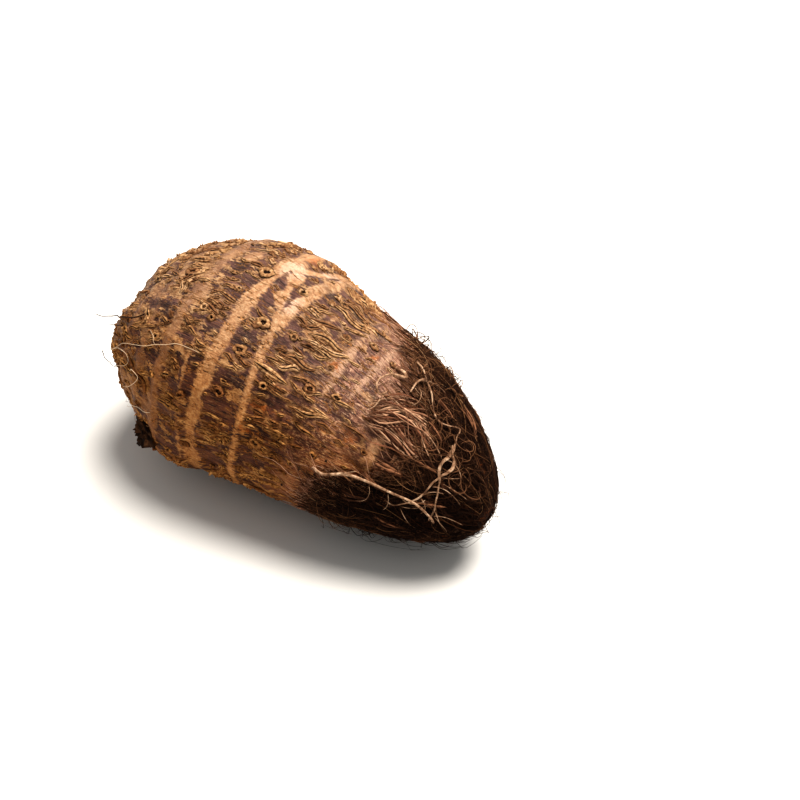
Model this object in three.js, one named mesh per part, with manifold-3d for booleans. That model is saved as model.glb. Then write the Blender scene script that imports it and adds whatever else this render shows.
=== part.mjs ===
/*
 * Taro root: a corm lying on its side, crown end towards +X. Millimetres, +Z up, floor at z = 0.
 *
 * corm          one solid: leaf-scar rings, corky split ridges, root scars, a root stub and
 *               three pale roots that run out over the crown
 * crown_fibres  the shaggy mat of dried leaf-sheath fibres round the crown end
 *
 * Places on the skin are given as (mm along the axis from mid-length, degrees round it):
 * 0 degrees is the far side (+Y), 90 is the top, 180 the near side (-Y), 270 the underside.
 */
import * as THREE from "three";
import { mergeVertices } from "three/addons/utils/BufferGeometryUtils.js";
import Module from "manifold-3d";

const wasm = await Module();
wasm.setup();

// Body of the corm
const LENGTH = 184.9; // base end to crown end, along the axis
const GIRTH_RADIUS = 51.0; // at its fattest
const FATTEST_AT = -0.36; // -1 is the base end, +1 the crown end
const BASE_END = { fullness: 1.641, bluntness: 2.209 };
const CROWN_END = { fullness: 1.501, bluntness: 1.951 };
const LEAN = THREE.MathUtils.degToRad(7.13); // the crown end lies lower
const SIDE_BOW = -4.45; // sideways bend of the axis
const DROP_BOW = -6.58; // both ends drop a little
const REST_DEPTH = 2.0; // how far the resting spot is flattened
const BASE_SCAR = { depth: 1.6, radius: 9 }; // where it was parted from the plant
const AROUND = 54;
const ALONG = 46;

// Leaf scars: rings where old leaves sat. wave bends a ring three times round.
const LEAF_SCARS = [
  { at: -82, lean: 1.0, toward: 60, wave: 0.5, crest: 20 },
  { at: -71, lean: 1.5, toward: 200, wave: 0.6, crest: 80 },
  { at: -60, lean: 1.5, toward: 250, wave: 0.8, crest: 40 },
  { at: -45, lean: 3.0, toward: 290, wave: 0.8, crest: 10 },
  { at: -33, lean: 2.0, toward: 250, wave: 0.9, crest: 70 },
  { at: -22, lean: 0.5, toward: 60, wave: 0.5, crest: 30 },
  { at: -7, lean: 1.0, toward: 190, wave: -2.2, crest: 105 },
  { at: 8, lean: 1.2, toward: 230, wave: 0.7, crest: 60 },
  { at: 21, lean: 2.0, toward: 165, wave: 0.6, crest: 20 },
  { at: 30, lean: 1.5, toward: 140, wave: 0.8, crest: 90 },
  { at: 50, lean: 1.0, toward: 90, wave: 0.6, crest: 40 },
];
const SCAR_HEIGHT = 0.9;
const SCAR_HALF_WIDTH = 2.6;

// Lengthwise skin relief, and the corky split ridges that stand on it
const RIPPLE = 0.35;
const RIDGES = { count: 62, length: [9, 20], width: [2.4, 3.6], height: [0.9, 1.6] };

// Root scars: low craters with a hole
const ROOT_SCARS = [
  [-57, 104], [-28, 90], [-16, 131], [-39, 121], [0, 112], [16, 94], [26, 86], [17, 130],
  [28, 126], [-16, 154], [-28, 194], [0, 141], [-54, 144], [-49, 163], [5, 171], [-12, 300],
  [-62, 330], [-20, 20],
];
const CRATER = { radius: 2.0, rim: 0.75, hole: 1.4 };

// Large swells and hollows of the body
const SWELLS = [
  { at: [-43, 218], height: 5.0, spread: 15 }, // low on the near side, under the root stub
  { at: [-88, 115], height: -4.0, spread: 20 }, // dent high on the base end
  { at: [-21, 44], height: 1.4, spread: 12 }, // shoulder on the far side
  { at: [12, 40], height: -3.3, spread: 25 }, // where the body falls away to the crown
];
const STUB = { at: [-48, 212], size: [5, 3.4, 5.2] };

// Fibre mat: its ragged edge as (degrees round, mm along), and its body
const MAT_EDGE = [
  [0, 18], [37, 20], [59, 33], [70, 42], [85, 50], [98, 55], [112, 58], [124, 59], [138, 58],
  [155, 54], [165, 44], [180, 33], [205, 30], [235, 33], [270, 38], [315, 30], [340, 22],
];
const MAT_THICKNESS = 2.6;
const MAT_PROUD = 0.8; // how far it stands outside the fair line of the corm
const MAT_FOOT = 40; // where on the axis the cap closes, inside the corm
const MAT_AROUND = 48;
const MAT_ALONG = 13;
const SINK_RUN = 9; // the skin sinks under the mat over this length
const FIT_GAP = 0.3;
const FLOOR_GAP = 0.7; // the mat stays this far off the floor
const FRINGE = { count: 34, radius: [0.75, 0.45] };
const SWIRLS = { count: 22, radius: [0.9, 0.6] };
const TUFT = { count: 9, radius: [0.9, 0.5] };
const STRAYS = { count: 8, radius: [0.75, 0.45] };

// Pale roots: [mm along, degrees round, height over the fair line]
const ROOTS = [
  {
    radius: [0.85, 0.7],
    route: [
      [36, 84, -3], [40, 87, 0.6], [43, 91, 2.4], [39, 97, 2.9], [38, 106, 2.7], [41, 110, 2.5],
      [43, 106, 2.6],
    ],
  },
  {
    radius: [0.95, 0.7],
    route: [
      [35, 68, -4], [40, 71, 0.5], [45, 75, 2.8], [50, 80, 3.2], [55, 85, 3.0], [62, 95, 3.0],
      [67, 91, 3.1], [70, 83, 3.1], [72, 93, 3.2], [73, 107, 3.2], [73, 121, 3.1], [76, 136, 3.1],
      [78, 155, 3.2], [77, 172, 3.2],
    ],
  },
  { radius: [0.75, 0.6], route: [[49, 79, 3.1], [48, 86, 3.0], [49, 96, 2.8]] },
  {
    radius: [0.75, 0.6],
    route: [
      [72, 99, 3.2], [76, 113, 4.4], [75, 128, 4.6], [73, 143, 4.0], [70, 159, 3.3],
      [65, 168, 3.1], [61, 167, 3.0],
    ],
  },
  {
    radius: [0.85, 0.65],
    route: [
      [26, 170, -4], [31, 169, 0.6], [36, 168, 2.8], [44, 162, 3.1], [53, 160, 3.1],
      [63, 160, 3.1], [71, 159, 4.3], [77, 165, 4.6], [79, 172, 3.8],
    ],
  },
];

const DEG = Math.PI / 180;
const HALF = LENGTH / 2;
const AXIS = new THREE.Vector3(Math.cos(LEAN), 0, -Math.sin(LEAN));
const SIDE = new THREE.Vector3(0, 1, 0);
const UPWARD = new THREE.Vector3(Math.sin(LEAN), 0, Math.cos(LEAN));

// Repeatable random numbers, so that each run grows the same root
function randomSource(seed) {
  let state = seed;
  return (low, high) => {
    state = (state + 0x6d2b79f5) | 0;
    let mixed = Math.imul(state ^ (state >>> 15), 1 | state);
    mixed = (mixed + Math.imul(mixed ^ (mixed >>> 7), 61 | mixed)) ^ mixed;
    return low + (high - low) * (((mixed ^ (mixed >>> 14)) >>> 0) / 4294967296);
  };
}

function smooth(from, to, value) {
  return THREE.MathUtils.smoothstep(value, from, to);
}

function fairRadius(s) {
  const u = THREE.MathUtils.clamp(s / HALF, -1, 1);
  const end = u < FATTEST_AT ? BASE_END : CROWN_END;
  const run = u < FATTEST_AT ? 1 + FATTEST_AT : 1 - FATTEST_AT;
  const t = Math.abs(u - FATTEST_AT) / run;
  return GIRTH_RADIUS * Math.pow(Math.max(0, 1 - Math.pow(t, end.fullness)), 1 / end.bluntness);
}

// Large swells and hollows at s along and theta round; they fade out at the poles
function swell(s, theta) {
  const fade = Math.min(1, fairRadius(s) / 18);
  return fade * SWELLS.reduce((sum, { at, height, spread }) => {
    const turn = Math.atan2(Math.sin(theta - at[1] * DEG), Math.cos(theta - at[1] * DEG));
    const away = Math.hypot(s - at[0], turn * GIRTH_RADIUS) / spread;
    return sum + height * Math.exp(-away * away);
  }, 0);
}

// A point on the body at s along and theta round, raised by lift along the fair outward normal
function skinPoint(s, theta, lift) {
  const along = Math.acos(THREE.MathUtils.clamp(-s / HALF, -1, 1));
  const before = -Math.cos(Math.max(0, along - 0.01)) * HALF;
  const after = -Math.cos(Math.min(Math.PI, along + 0.01)) * HALF;
  const slope = new THREE.Vector2(fairRadius(before) - fairRadius(after), after - before).normalize();
  const fair = fairRadius(s);
  const raised = lift + swell(s, theta);
  const radius = fair < 1e-6 ? 0 : fair + slope.y * raised;
  const place = s + slope.x * raised;
  const bow = (s / HALF) ** 2 - 0.3;
  return new THREE.Vector3()
    .addScaledVector(AXIS, place)
    .addScaledVector(SIDE, SIDE_BOW * bow + radius * Math.cos(theta))
    .addScaledVector(UPWARD, DROP_BOW * bow + radius * Math.sin(theta));
}

function matEdge(theta) {
  const angle = THREE.MathUtils.euclideanModulo(theta / DEG, 360);
  const knots = [...MAT_EDGE, [360, MAT_EDGE[0][1]]];
  const next = knots.findIndex((knot) => knot[0] > angle);
  const [a0, s0] = knots[next - 1];
  const [a1, s1] = knots[next];
  return THREE.MathUtils.lerp(s0, s1, smooth(a0, a1, angle));
}

function scarPlace(scar, theta) {
  return scar.at + scar.lean * Math.cos(theta - scar.toward * DEG)
    + scar.wave * Math.cos(3 * (theta - scar.crest * DEG));
}

// Rings, lengthwise ripples and small unevenness; fades out at the poles, and sinks under the mat
function skinRelief(s, theta) {
  const fade = Math.min(1, fairRadius(s) / 18);
  const inset = s - matEdge(theta);
  let ring = 0;
  for (const scar of LEAF_SCARS) {
    const offset = (s - scarPlace(scar, theta)) / SCAR_HALF_WIDTH;
    ring = Math.max(ring, SCAR_HEIGHT * Math.exp(-offset * offset));
  }
  const ripple = RIPPLE * Math.sin(17 * theta + 1.8 * Math.sin(s / 13)) * Math.sin(s / 8 + 4 * theta);
  const uneven = 0.54 * Math.sin(2 * theta + s / 31) + 0.3 * Math.sin(5 * theta - s / 19);
  const bare = fade * (ring + ripple + uneven) * (1 - smooth(-4, 2, inset));
  const poleDish = s < 0 ? BASE_SCAR.depth * Math.exp(-((fairRadius(s) / BASE_SCAR.radius) ** 4)) : 0;
  return bare - poleDish - (MAT_THICKNESS - MAT_PROUD) * smooth(-SINK_RUN / 2, SINK_RUN / 2, inset);
}

function toManifold(geometry) {
  const bare = geometry.clone();
  bare.deleteAttribute("normal");
  bare.deleteAttribute("uv");
  const welded = mergeVertices(bare, 1e-4);
  const triangles = [];
  for (let i = 0; i < welded.index.count; i += 3) {
    const [a, b, c] = [0, 1, 2].map((k) => welded.index.getX(i + k));
    if (a !== b && b !== c && c !== a) triangles.push(a, b, c);
  }
  return new wasm.Manifold(new wasm.Mesh({
    numProp: 3,
    vertProperties: new Float32Array(welded.attributes.position.array),
    triVerts: new Uint32Array(triangles),
  }));
}

function toMesh(manifold, name, color) {
  const data = manifold.getMesh();
  const geometry = new THREE.BufferGeometry();
  geometry.setAttribute("position", new THREE.BufferAttribute(new Float32Array(data.vertProperties), 3));
  geometry.setIndex(new THREE.BufferAttribute(new Uint32Array(data.triVerts), 1));
  const mesh = new THREE.Mesh(geometry, new THREE.MeshStandardMaterial({ color, roughness: 0.9 }));
  mesh.name = name;
  return mesh;
}

function largestBody(manifold) {
  return manifold.decompose().sort((a, b) => b.volume() - a.volume())[0];
}

// A lathed grid of unit size whose points are then placed by a formula of (row, theta)
function latheGrid(rows, segments, place) {
  const profile = rows.map((row, k) => new THREE.Vector2(k === 0 || k === rows.length - 1 ? 0 : 1, k));
  const geometry = new THREE.LatheGeometry(profile, segments);
  const position = geometry.attributes.position;
  for (let i = 0; i < position.count; i++) {
    const row = Math.round(position.getY(i));
    const pole = row === 0 || row === rows.length - 1;
    const theta = pole ? 0 : Math.atan2(position.getX(i), position.getZ(i));
    const point = place(rows[row], theta, row);
    position.setXYZ(i, point.x, point.y, point.z);
  }
  return toManifold(geometry);
}

function cormRows() {
  return Array.from({ length: ALONG + 1 }, (_, k) => {
    const even = (2 * k) / ALONG - 1;
    return HALF * (0.65 * even - 0.35 * Math.cos((Math.PI * k) / ALONG));
  });
}

// The corm without its ridges and scars, grown by a margin
function bareCorm(margin) {
  return latheGrid(cormRows(), AROUND, (s, theta) => (
    skinPoint(s, theta, skinRelief(s, theta) + margin)
  ));
}

// A shape stood on the skin: x along the axis, y round it, z outwards, turned by yaw
function onSkin(geometry, s, theta, lift, yaw) {
  const origin = skinPoint(s, theta, lift);
  const alongDir = skinPoint(s + 1, theta, lift).sub(skinPoint(s - 1, theta, lift)).normalize();
  const outward = skinPoint(s, theta, lift + 1).sub(origin).normalize();
  const roundDir = new THREE.Vector3().crossVectors(outward, alongDir).normalize();
  const frame = new THREE.Matrix4().makeBasis(alongDir, roundDir, outward).setPosition(origin);
  return geometry.clone().rotateZ(yaw).applyMatrix4(frame);
}

// A tapered strand along a smooth path
function strand(points, [startRadius, endRadius], sides, steps) {
  const path = new THREE.CatmullRomCurve3(points, false, "centripetal");
  const frames = path.computeFrenetFrames(steps, false);
  const geometry = new THREE.CylinderGeometry(endRadius, startRadius, 1, sides, steps);
  const position = geometry.attributes.position;
  for (let i = 0; i < position.count; i++) {
    const t = position.getY(i) + 0.5;
    const step = Math.round(t * steps);
    const point = path.getPointAt(step / steps)
      .addScaledVector(frames.normals[step], position.getX(i))
      .addScaledVector(frames.binormals[step], -position.getZ(i));
    position.setXYZ(i, point.x, point.y, point.z);
  }
  const body = toManifold(geometry);
  return body.volume() > 0 ? body : toManifold(flipped(geometry));
}

function flipped(geometry) {
  const turned = geometry.clone();
  const index = turned.index;
  for (let i = 0; i < index.count; i += 3) {
    const first = index.getX(i);
    index.setX(i, index.getX(i + 1));
    index.setX(i + 1, first);
  }
  return turned;
}

function rootStrand(root, margin) {
  const points = root.route.map(([s, degrees, height]) => skinPoint(s, degrees * DEG, height));
  const radii = root.radius.map((radius) => radius + margin);
  return strand(points, radii, 5, root.route.length * 2);
}

function splitRidges(random) {
  const ridges = [];
  while (ridges.length < RIDGES.count) {
    const s = random(-78, 52);
    const theta = random(0, 2 * Math.PI);
    const sizes = [RIDGES.length, RIDGES.width, RIDGES.height];
    const [length, width, height] = sizes.map((range) => random(...range));
    const yaw = random(-0.28, 0.28);
    if (s + length / 2 > matEdge(theta) - 13) continue;
    const lens = new THREE.OctahedronGeometry(1, 0).scale(length / 2, width / 2, height);
    ridges.push(toManifold(onSkin(lens, s, theta, skinRelief(s, theta) - 0.1, yaw)));
  }
  return ridges;
}

function addRootScars(corm) {
  const rims = [];
  const holes = [];
  for (const [s, degrees] of ROOT_SCARS) {
    const theta = degrees * DEG;
    const lift = skinRelief(s, theta);
    const rim = new THREE.TorusGeometry(CRATER.radius, CRATER.rim, 3, 6);
    const hole = new THREE.OctahedronGeometry(CRATER.hole, 0).scale(1, 1, 1.3);
    rims.push(toManifold(onSkin(rim, s, theta, lift + 0.25, 0.4)));
    holes.push(toManifold(onSkin(hole, s, theta, lift + 0.3, 0.2)));
  }
  return corm.add(wasm.Manifold.union(rims)).subtract(wasm.Manifold.union(holes));
}

function rootStub() {
  const [s, degrees] = STUB.at;
  const theta = degrees * DEG;
  const lump = new THREE.DodecahedronGeometry(1, 0).scale(...STUB.size);
  return toManifold(onSkin(lump, s, theta, skinRelief(s, theta), 0.5));
}

function below(height) {
  const size = 4 * LENGTH;
  return toManifold(new THREE.BoxGeometry(size, size, size).translate(0, 0, height - size / 2));
}

function buildCorm(random, floor) {
  const ridges = wasm.Manifold.union(splitRidges(random));
  const roots = wasm.Manifold.union(ROOTS.map((root) => rootStrand(root, 0)));
  const body = addRootScars(bareCorm(0).add(ridges).add(rootStub()));
  return largestBody(body.add(roots).subtract(below(floor)));
}

function matLift(share, theta, s) {
  const grooves = 0.4 * Math.sin(11 * theta + 1.4 * Math.sin(s / 9)) + 0.25 * Math.sin(s / 3.5 + 3 * theta);
  const fade = Math.min(1, fairRadius(s) / 12);
  return 0.2 + (MAT_PROUD - 0.2) * smooth(0, 0.25, share) + fade * grooves * smooth(0, 0.15, share);
}

// A closed cap: a point on the axis, the ragged edge, then the outer surface to the crown tip
function matCap() {
  const rows = Array.from({ length: MAT_ALONG + 2 }, (_, k) => k - 1);
  return latheGrid(rows, MAT_AROUND, (row, theta) => {
    if (row < 0) return AXIS.clone().multiplyScalar(MAT_FOOT);
    const share = Math.sin((row / MAT_ALONG) * Math.PI / 2);
    const ragged = 1.6 * Math.sin(7 * theta) + 1.2 * Math.sin(13 * theta + 1);
    const start = matEdge(theta) + ragged;
    const s = row === MAT_ALONG ? HALF : start + share * (HALF - start);
    return skinPoint(s, theta, matLift(share, theta, s));
  });
}

function fringe(random) {
  return Array.from({ length: FRINGE.count }, (_, k) => {
    const theta = (k + random(-0.4, 0.4)) * (2 * Math.PI / FRINGE.count);
    const edge = matEdge(theta);
    const reach = random(3, 9);
    const drift = random(-0.16, 0.16);
    return strand([
      skinPoint(edge + 9, theta - drift, -0.4),
      skinPoint(edge + 2, theta, 0.9),
      skinPoint(edge - reach / 2, theta + drift / 2, 1.5),
      skinPoint(edge - reach, theta + drift, 2.0),
    ], FRINGE.radius, 3, 3);
  });
}

function swirls(random) {
  return Array.from({ length: SWIRLS.count }, () => {
    const theta = random(0, 2 * Math.PI);
    const s = random(matEdge(theta) + 6, HALF - 14);
    const run = random(7, 11) * (random(0, 1) < 0.3 ? 0.3 : 1);
    const sweep = (random(0.2, 0.5) + (run < 4 ? 0.4 : 0)) * (random(0, 1) < 0.5 ? -1 : 1);
    return strand([
      skinPoint(s - run, theta - sweep / 2, -0.6),
      skinPoint(s - run / 3, theta - sweep / 5, MAT_PROUD + 0.5),
      skinPoint(s + run / 3, theta + sweep / 5, MAT_PROUD + 0.5),
      skinPoint(Math.min(s + run, HALF - 4), theta + sweep / 2, -0.6),
    ], SWIRLS.radius, 3, 4);
  });
}

// Stiff stubs of old leaf veins: at the crown tip, and strays that leave the outline
function bristles(random, count, radii, from, to, reach) {
  return Array.from({ length: count }, (_, k) => {
    const theta = (k + random(-0.3, 0.3)) * (2 * Math.PI / count) + 0.4;
    const s = random(from, to);
    const length = random(...reach);
    return strand([
      skinPoint(s - 5, theta, -1.4),
      skinPoint(s, theta, MAT_PROUD + 0.3),
      skinPoint(Math.min(s + 3, HALF - 0.5), theta + 0.1, MAT_PROUD + length / 2),
      skinPoint(Math.min(s + 6, HALF - 0.5), theta + 0.25, MAT_PROUD + length),
    ], radii, 3, 4);
  });
}

function buildMat(random, floor) {
  const hair = [
    ...fringe(random),
    ...swirls(random),
    ...bristles(random, TUFT.count, TUFT.radius, HALF - 9, HALF - 3, [4, 8]),
    ...bristles(random, STRAYS.count, STRAYS.radius, 58, 80, [2.5, 4.5]),
  ];
  const clearance = [bareCorm(FIT_GAP), ...ROOTS.map((root) => rootStrand(root, FIT_GAP + 0.1))];
  const mat = matCap().add(wasm.Manifold.union(hair)).subtract(wasm.Manifold.union(clearance));
  return largestBody(mat.subtract(below(floor + FLOOR_GAP)));
}

const floorHeight = bareCorm(0).boundingBox().min[2] + REST_DEPTH;
const corm = buildCorm(randomSource(7), floorHeight);
const mat = buildMat(randomSource(23), floorHeight);

// The origin is under the middle of the whole root, on the floor
const boxes = [corm.boundingBox(), mat.boundingBox()];
const middle = [0, 1].map((k) =>
  (Math.min(boxes[0].min[k], boxes[1].min[k]) + Math.max(boxes[0].max[k], boxes[1].max[k])) / 2);
const home = [-middle[0], -middle[1], -floorHeight];

const root = new THREE.Group();
root.name = "taro_root";
root.add(toMesh(corm.translate(home), "corm", 0x7a5236));
root.add(toMesh(mat.translate(home), "crown_fibres", 0x3a2013));

export default root;
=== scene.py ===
"""A whole taro root lying on its side, crown end towards +X, dressed round its CAD frame.

Places on the skin are (mm along the axis from mid-length, degrees round it, mm above the fair
body): 0 degrees is the far side, 90 the top, 180 the near side and 270 the underside.
"""

import itertools
import math

import bmesh
import bpy
import numpy as np
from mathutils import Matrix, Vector


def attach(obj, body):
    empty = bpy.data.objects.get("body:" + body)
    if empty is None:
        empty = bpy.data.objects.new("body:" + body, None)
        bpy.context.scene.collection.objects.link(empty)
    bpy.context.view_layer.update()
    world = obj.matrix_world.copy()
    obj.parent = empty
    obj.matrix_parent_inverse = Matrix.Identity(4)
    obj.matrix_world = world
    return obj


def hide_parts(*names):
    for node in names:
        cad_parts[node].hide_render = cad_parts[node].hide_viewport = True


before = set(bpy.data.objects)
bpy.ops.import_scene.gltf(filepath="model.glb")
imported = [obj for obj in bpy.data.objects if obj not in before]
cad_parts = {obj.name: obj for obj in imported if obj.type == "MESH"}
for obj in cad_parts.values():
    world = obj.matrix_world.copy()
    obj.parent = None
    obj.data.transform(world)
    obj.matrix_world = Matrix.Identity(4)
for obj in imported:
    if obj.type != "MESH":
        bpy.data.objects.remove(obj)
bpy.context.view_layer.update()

MM = 0.001
RNG = np.random.default_rng(5)

# The fair body, as in the CAD, in mm
HALF = 184.9 / 2
GIRTH_RADIUS = 51.0
FATTEST_AT = -0.36
BASE_END = (1.641, 2.209)
CROWN_END = (1.501, 1.951)
LEAN = math.radians(7.13)
SIDE_BOW = -4.45
DROP_BOW = -6.58
BODY_ORIGIN = np.array([-3.631, -0.863, 44.515])
AXIS = np.array([math.cos(LEAN), 0.0, -math.sin(LEAN)])
SIDE = np.array([0.0, 1.0, 0.0])
UPWARD = np.array([math.sin(LEAN), 0.0, math.cos(LEAN)])

# Leaf scars: at, lean, toward, wave, crest as in the CAD, then the half width of the pale band, the
# stretch of the girth where it shows (middle and half spread in degrees) and its shift off the ring
LEAF_SCARS = (
    (-82, 1.0, 60, 0.5, 20, 0.6, 120, 200, 0),
    (-71, 1.5, 200, 0.6, 80, 0.8, 150, 200, 0),
    (-60, 1.5, 250, 0.8, 40, 1.0, 140, 200, 0),
    (-45, 3.0, 290, 0.8, 10, 2.2, 150, 200, 0),
    (-33, 2.0, 250, 0.9, 70, 0.5, 190, 90, 0),
    (-22, 0.5, 60, 0.5, 30, 2.8, 120, 220, -2.8),
    (-7, 1.0, 190, -2.2, 105, 1.4, 130, 220, 0),
    (8, 1.2, 230, 0.7, 60, 0.3, 60, 60, 0),
    (21, 2.0, 165, 0.6, 20, 1.2, 98, 42, 0),
    (30, 1.5, 140, 0.8, 90, 1.2, 92, 42, 1),
    (50, 1.0, 90, 0.6, 40, 1.4, 138, 40, 0),
)
SCAR_HEIGHT = 0.9
SCAR_HALF_WIDTH = 2.6
RIPPLE = 0.35
FADE_RADIUS = 18  # the relief dies away where the body is thinner than this, in mm
ROUGH_FADE_RADIUS = 14
MAT_FADE_RADIUS = 12

# Large swells and hollows, as in the CAD: mm along, degrees round, height, spread
SWELLS = (
    (-43, 218, 5.0, 15), (-88, 115, -4.0, 20), (-21, 44, 1.4, 12), (12, 40, -3.3, 25),
)
BASE_SCAR = (1.6, 9)
MAT_EDGE = (
    (0, 18), (37, 20), (59, 33), (70, 42), (85, 50), (98, 55), (112, 58), (124, 59), (138, 58),
    (155, 54), (165, 44), (180, 33), (205, 30), (235, 33), (270, 38), (315, 30), (340, 22),
    (360, 18),
)
MAT_THICKNESS = 2.6
MAT_PROUD = 0.8
SINK_RUN = 9
SET_BACK = 0.8  # of the rough skin's mean inside the CAD's surface
# Painted shade: the tint that deepens the flanks against the painted sheen on the top
FLANK_SHADE_TINT = "#f4dcb0"  # what the flanks' colours are multiplied by

# Root scars: mm along, degrees round, outer radius in mm
ROOT_SCARS = (
    (-57, 104, 2.2), (-28, 90, 2.9), (-16, 131, 2.2), (-39, 121, 1.7), (0, 112, 1.5), (16, 94, 1.3),
    (26, 86, 1.3), (17, 130, 1.8), (28, 126, 1.5), (-16, 154, 2.0), (-28, 194, 1.7), (0, 141, 1.7),
    (-54, 144, 1.5), (-49, 163, 1.6), (5, 171, 2.2), (-12, 300, 2.2), (-62, 330, 2.2), (-20, 20, 2.2),
    (-14, 114, 2.2), (-33, 124, 1.4), (-10, 180, 1.5), (-10, 89, 1.5), (47, 145, 1.1), (36, 85, 1.1),
    (-32, 164, 1.5), (29, 162, 1.5), (-46, 212, 1.6), (-37, 205, 1.4), (-35, 240, 1.7), (8, 230, 1.6),
)

# Forks and runs of the pale bands near the top: half width in mm, then places on their line
PALE_STREAKS = (
    (1.5, ((-10, 113), (-13, 101), (-15, 94), (-17, 86))),
    (2.1, ((-8, 113), (-7, 92), (-6, 84), (-5, 69), (-7, 54), (-9, 40))),
    (1.9, ((-21, 80), (-17, 75), (-13, 69), (-11, 56), (-9, 44))),
    (1.2, ((47, 122), (50, 128), (49, 139), (48, 150))),
)
# The barest cork, bleached near white
BLEACHED_PATCHES = ((-21, 80, 8.0, 8.0), (-13, 62, 7.0, 6.0), (-9, 98, 5.0, 7.0))

# Pale bare patches and rusty patches: mm along, degrees round, reach along and round in mm
PALE_PATCHES = (
    (-23, 76, 5.0, 6.5), (-17, 84, 3.5, 4.5), (-46, 114, 4.0, 5.0), (-39, 83, 4.0, 4.5),
    (-47, 81, 3.5, 4.0), (-17, 97, 2.2, 2.2), (-14, 101, 2.2, 2.0), (-66, 120, 4.0, 4.0),
    (-58, 160, 3.0, 4.0), (-52, 186, 3.0, 5.0), (-30, 250, 6.0, 7.0),
    (-10, 320, 6.0, 6.0), (-50, 20, 6.0, 5.0), (10, 290, 5.0, 5.0), (-70, 300, 5.0, 5.0),
)
RUST_PATCHES = (
    (3, 151, 7.0, 4.0), (40, 142, 5.0, 4.5), (-22, 62, 6.5, 6.0), (30, 92, 3.0, 3.0), (20, 112, 4.0, 3.0),
    (-1, 166, 4.0, 2.5), (-40, 260, 6.0, 5.0), (12, 20, 6.0, 4.0), (45, 118, 6.0, 4.0),
)

# Pale roots: radius at each end, the stretch that is a flat ribbon, as shares, then the route
PALE_ROOTS = (
    (1.10, 0.85, (2, 3), ((36, 84, -3), (40, 87, 0.6), (43, 91, 2.4), (39, 97, 2.9), (38, 106, 2.7),
                          (41, 110, 2.5), (43, 106, 2.6))),
    (0.95, 0.55, (0.62, 0.84), ((35, 68, -4), (40, 71, 0.5), (45, 75, 2.8), (50, 80, 3.2), (55, 85, 3.0),
                                (62, 95, 3.0), (67, 91, 3.1), (70, 83, 3.1), (72, 93, 3.2), (73, 107, 3.2),
                                (73, 121, 3.1), (76, 136, 3.1), (78, 155, 3.2), (77, 172, 3.2))),
    (1.00, 0.60, (2, 3), ((49, 79, 3.1), (48, 86, 3.0), (49, 96, 2.8))),
    (0.75, 0.45, (0.1, 0.5), ((72, 99, 3.2), (76, 113, 4.4), (75, 128, 4.6), (73, 143, 4.0), (70, 159, 3.3),
                              (65, 168, 3.1), (61, 167, 3.0))),
    (1.20, 0.75, (2, 3), ((26, 170, -4), (31, 169, 0.6), (36, 168, 2.8), (44, 162, 3.1), (53, 160, 3.1),
                          (63, 160, 3.1), (71, 159, 4.3), (77, 165, 4.6), (79, 172, 3.8))),
)
ROOT_SLIMNESS = 0.66  # the CAD's roots are stout enough to be solid

# Hair roots on the base end: radius, 0 for a pale one or 1 for a dark one, and route
BASE_HAIRS = (
    (0.30, 1, ((-66, 136, 0.3), (-70, 141, 1.0), (-76, 144, 1.2), (-87, 152, 1.2), (-87, 155, 4.0),
            (-87, 158, 7.0), (-87, 158, 10.0))),
    (0.22, 1, ((-76, 150, 0.4), (-82, 156, 1.0), (-86, 162, 2.5), (-86, 164, 5.0))),
    (0.13, 0, ((-30, 141, 0.2), (-35, 141, 0.9), (-41, 142, 1.1), (-46, 145, 1.0), (-52, 148, 1.3),
            (-56, 151, 1.3), (-62, 154, 1.4), (-69, 158, 1.2), (-73, 163, 1.5), (-83, 181, 1.5),
            (-82, 182, 4.8), (-81, 184, 7.0))),
    (0.12, 0, ((-56, 142, 1.9), (-54, 145, 1.7), (-52, 148, 0.6))),
    (0.13, 0, ((-83, 182, 1.2), (-73, 165, 2.2), (-66, 163, 1.6), (-65, 169, 1.4), (-73, 179, 1.0))),
    (0.17, 0, ((-63, 172, 0.8), (-60, 168, 1.6), (-57, 168, 1.8), (-56, 171, 1.6), (-59, 178, 1.3),
            (-69, 192, 0.8))),
    (0.17, 0, ((-64, 199, 0.6), (-55, 190, 1.2), (-50, 188, 1.2), (-46, 185, 0.5))),
    (0.20, 1, ((-83, 185, 5.0), (-81, 187, 4.2), (-80, 192, 2.4), (-72, 179, 0.6))),
)

# The most marked split ridges: mm along, degrees round, length in mm, turn in degrees
MAIN_SPLITS = (
    (22, 141, 17, -11), (5, 117, 8, 18), (17, 118, 13, -14), (16, 106, 15, -14), (16, 82, 20, -9),
    (19, 74, 12, -20), (12, 128, 10, -17), (17, 132, 12, -17), (22, 151, 12, 14), (-2, 127, 7, -10),
    (5, 127, 11, -14), (5, 141, 11, 1), (17, 143, 10, -6), (-36, 120, 10, 13), (-48, 108, 12, -7),
    (-35, 106, 9, -20), (-16, 111, 9, 18), (-31, 140, 10, 9), (-39, 134, 11, 1), (11, 82, 22, 0),
    (10, 73, 15, -10), (25, 104, 12, -12), (24, 94, 10, -8), (30, 112, 9, -10), (31, 127, 10, -8),
)

FIBRE_COUNTS = {
    "lengthwise": 3800, "swirled": 3200, "pale": 260, "stray": 950, "fringe": 1600, "curl": 90,
    "fuzz": 60,
}
LIP_COUNT = 1300
EXTRA_SCARS = 45
CRUMB_COUNT = 260
ROOTLETS_EACH = 5
RIBBONS_EACH = 9


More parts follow.
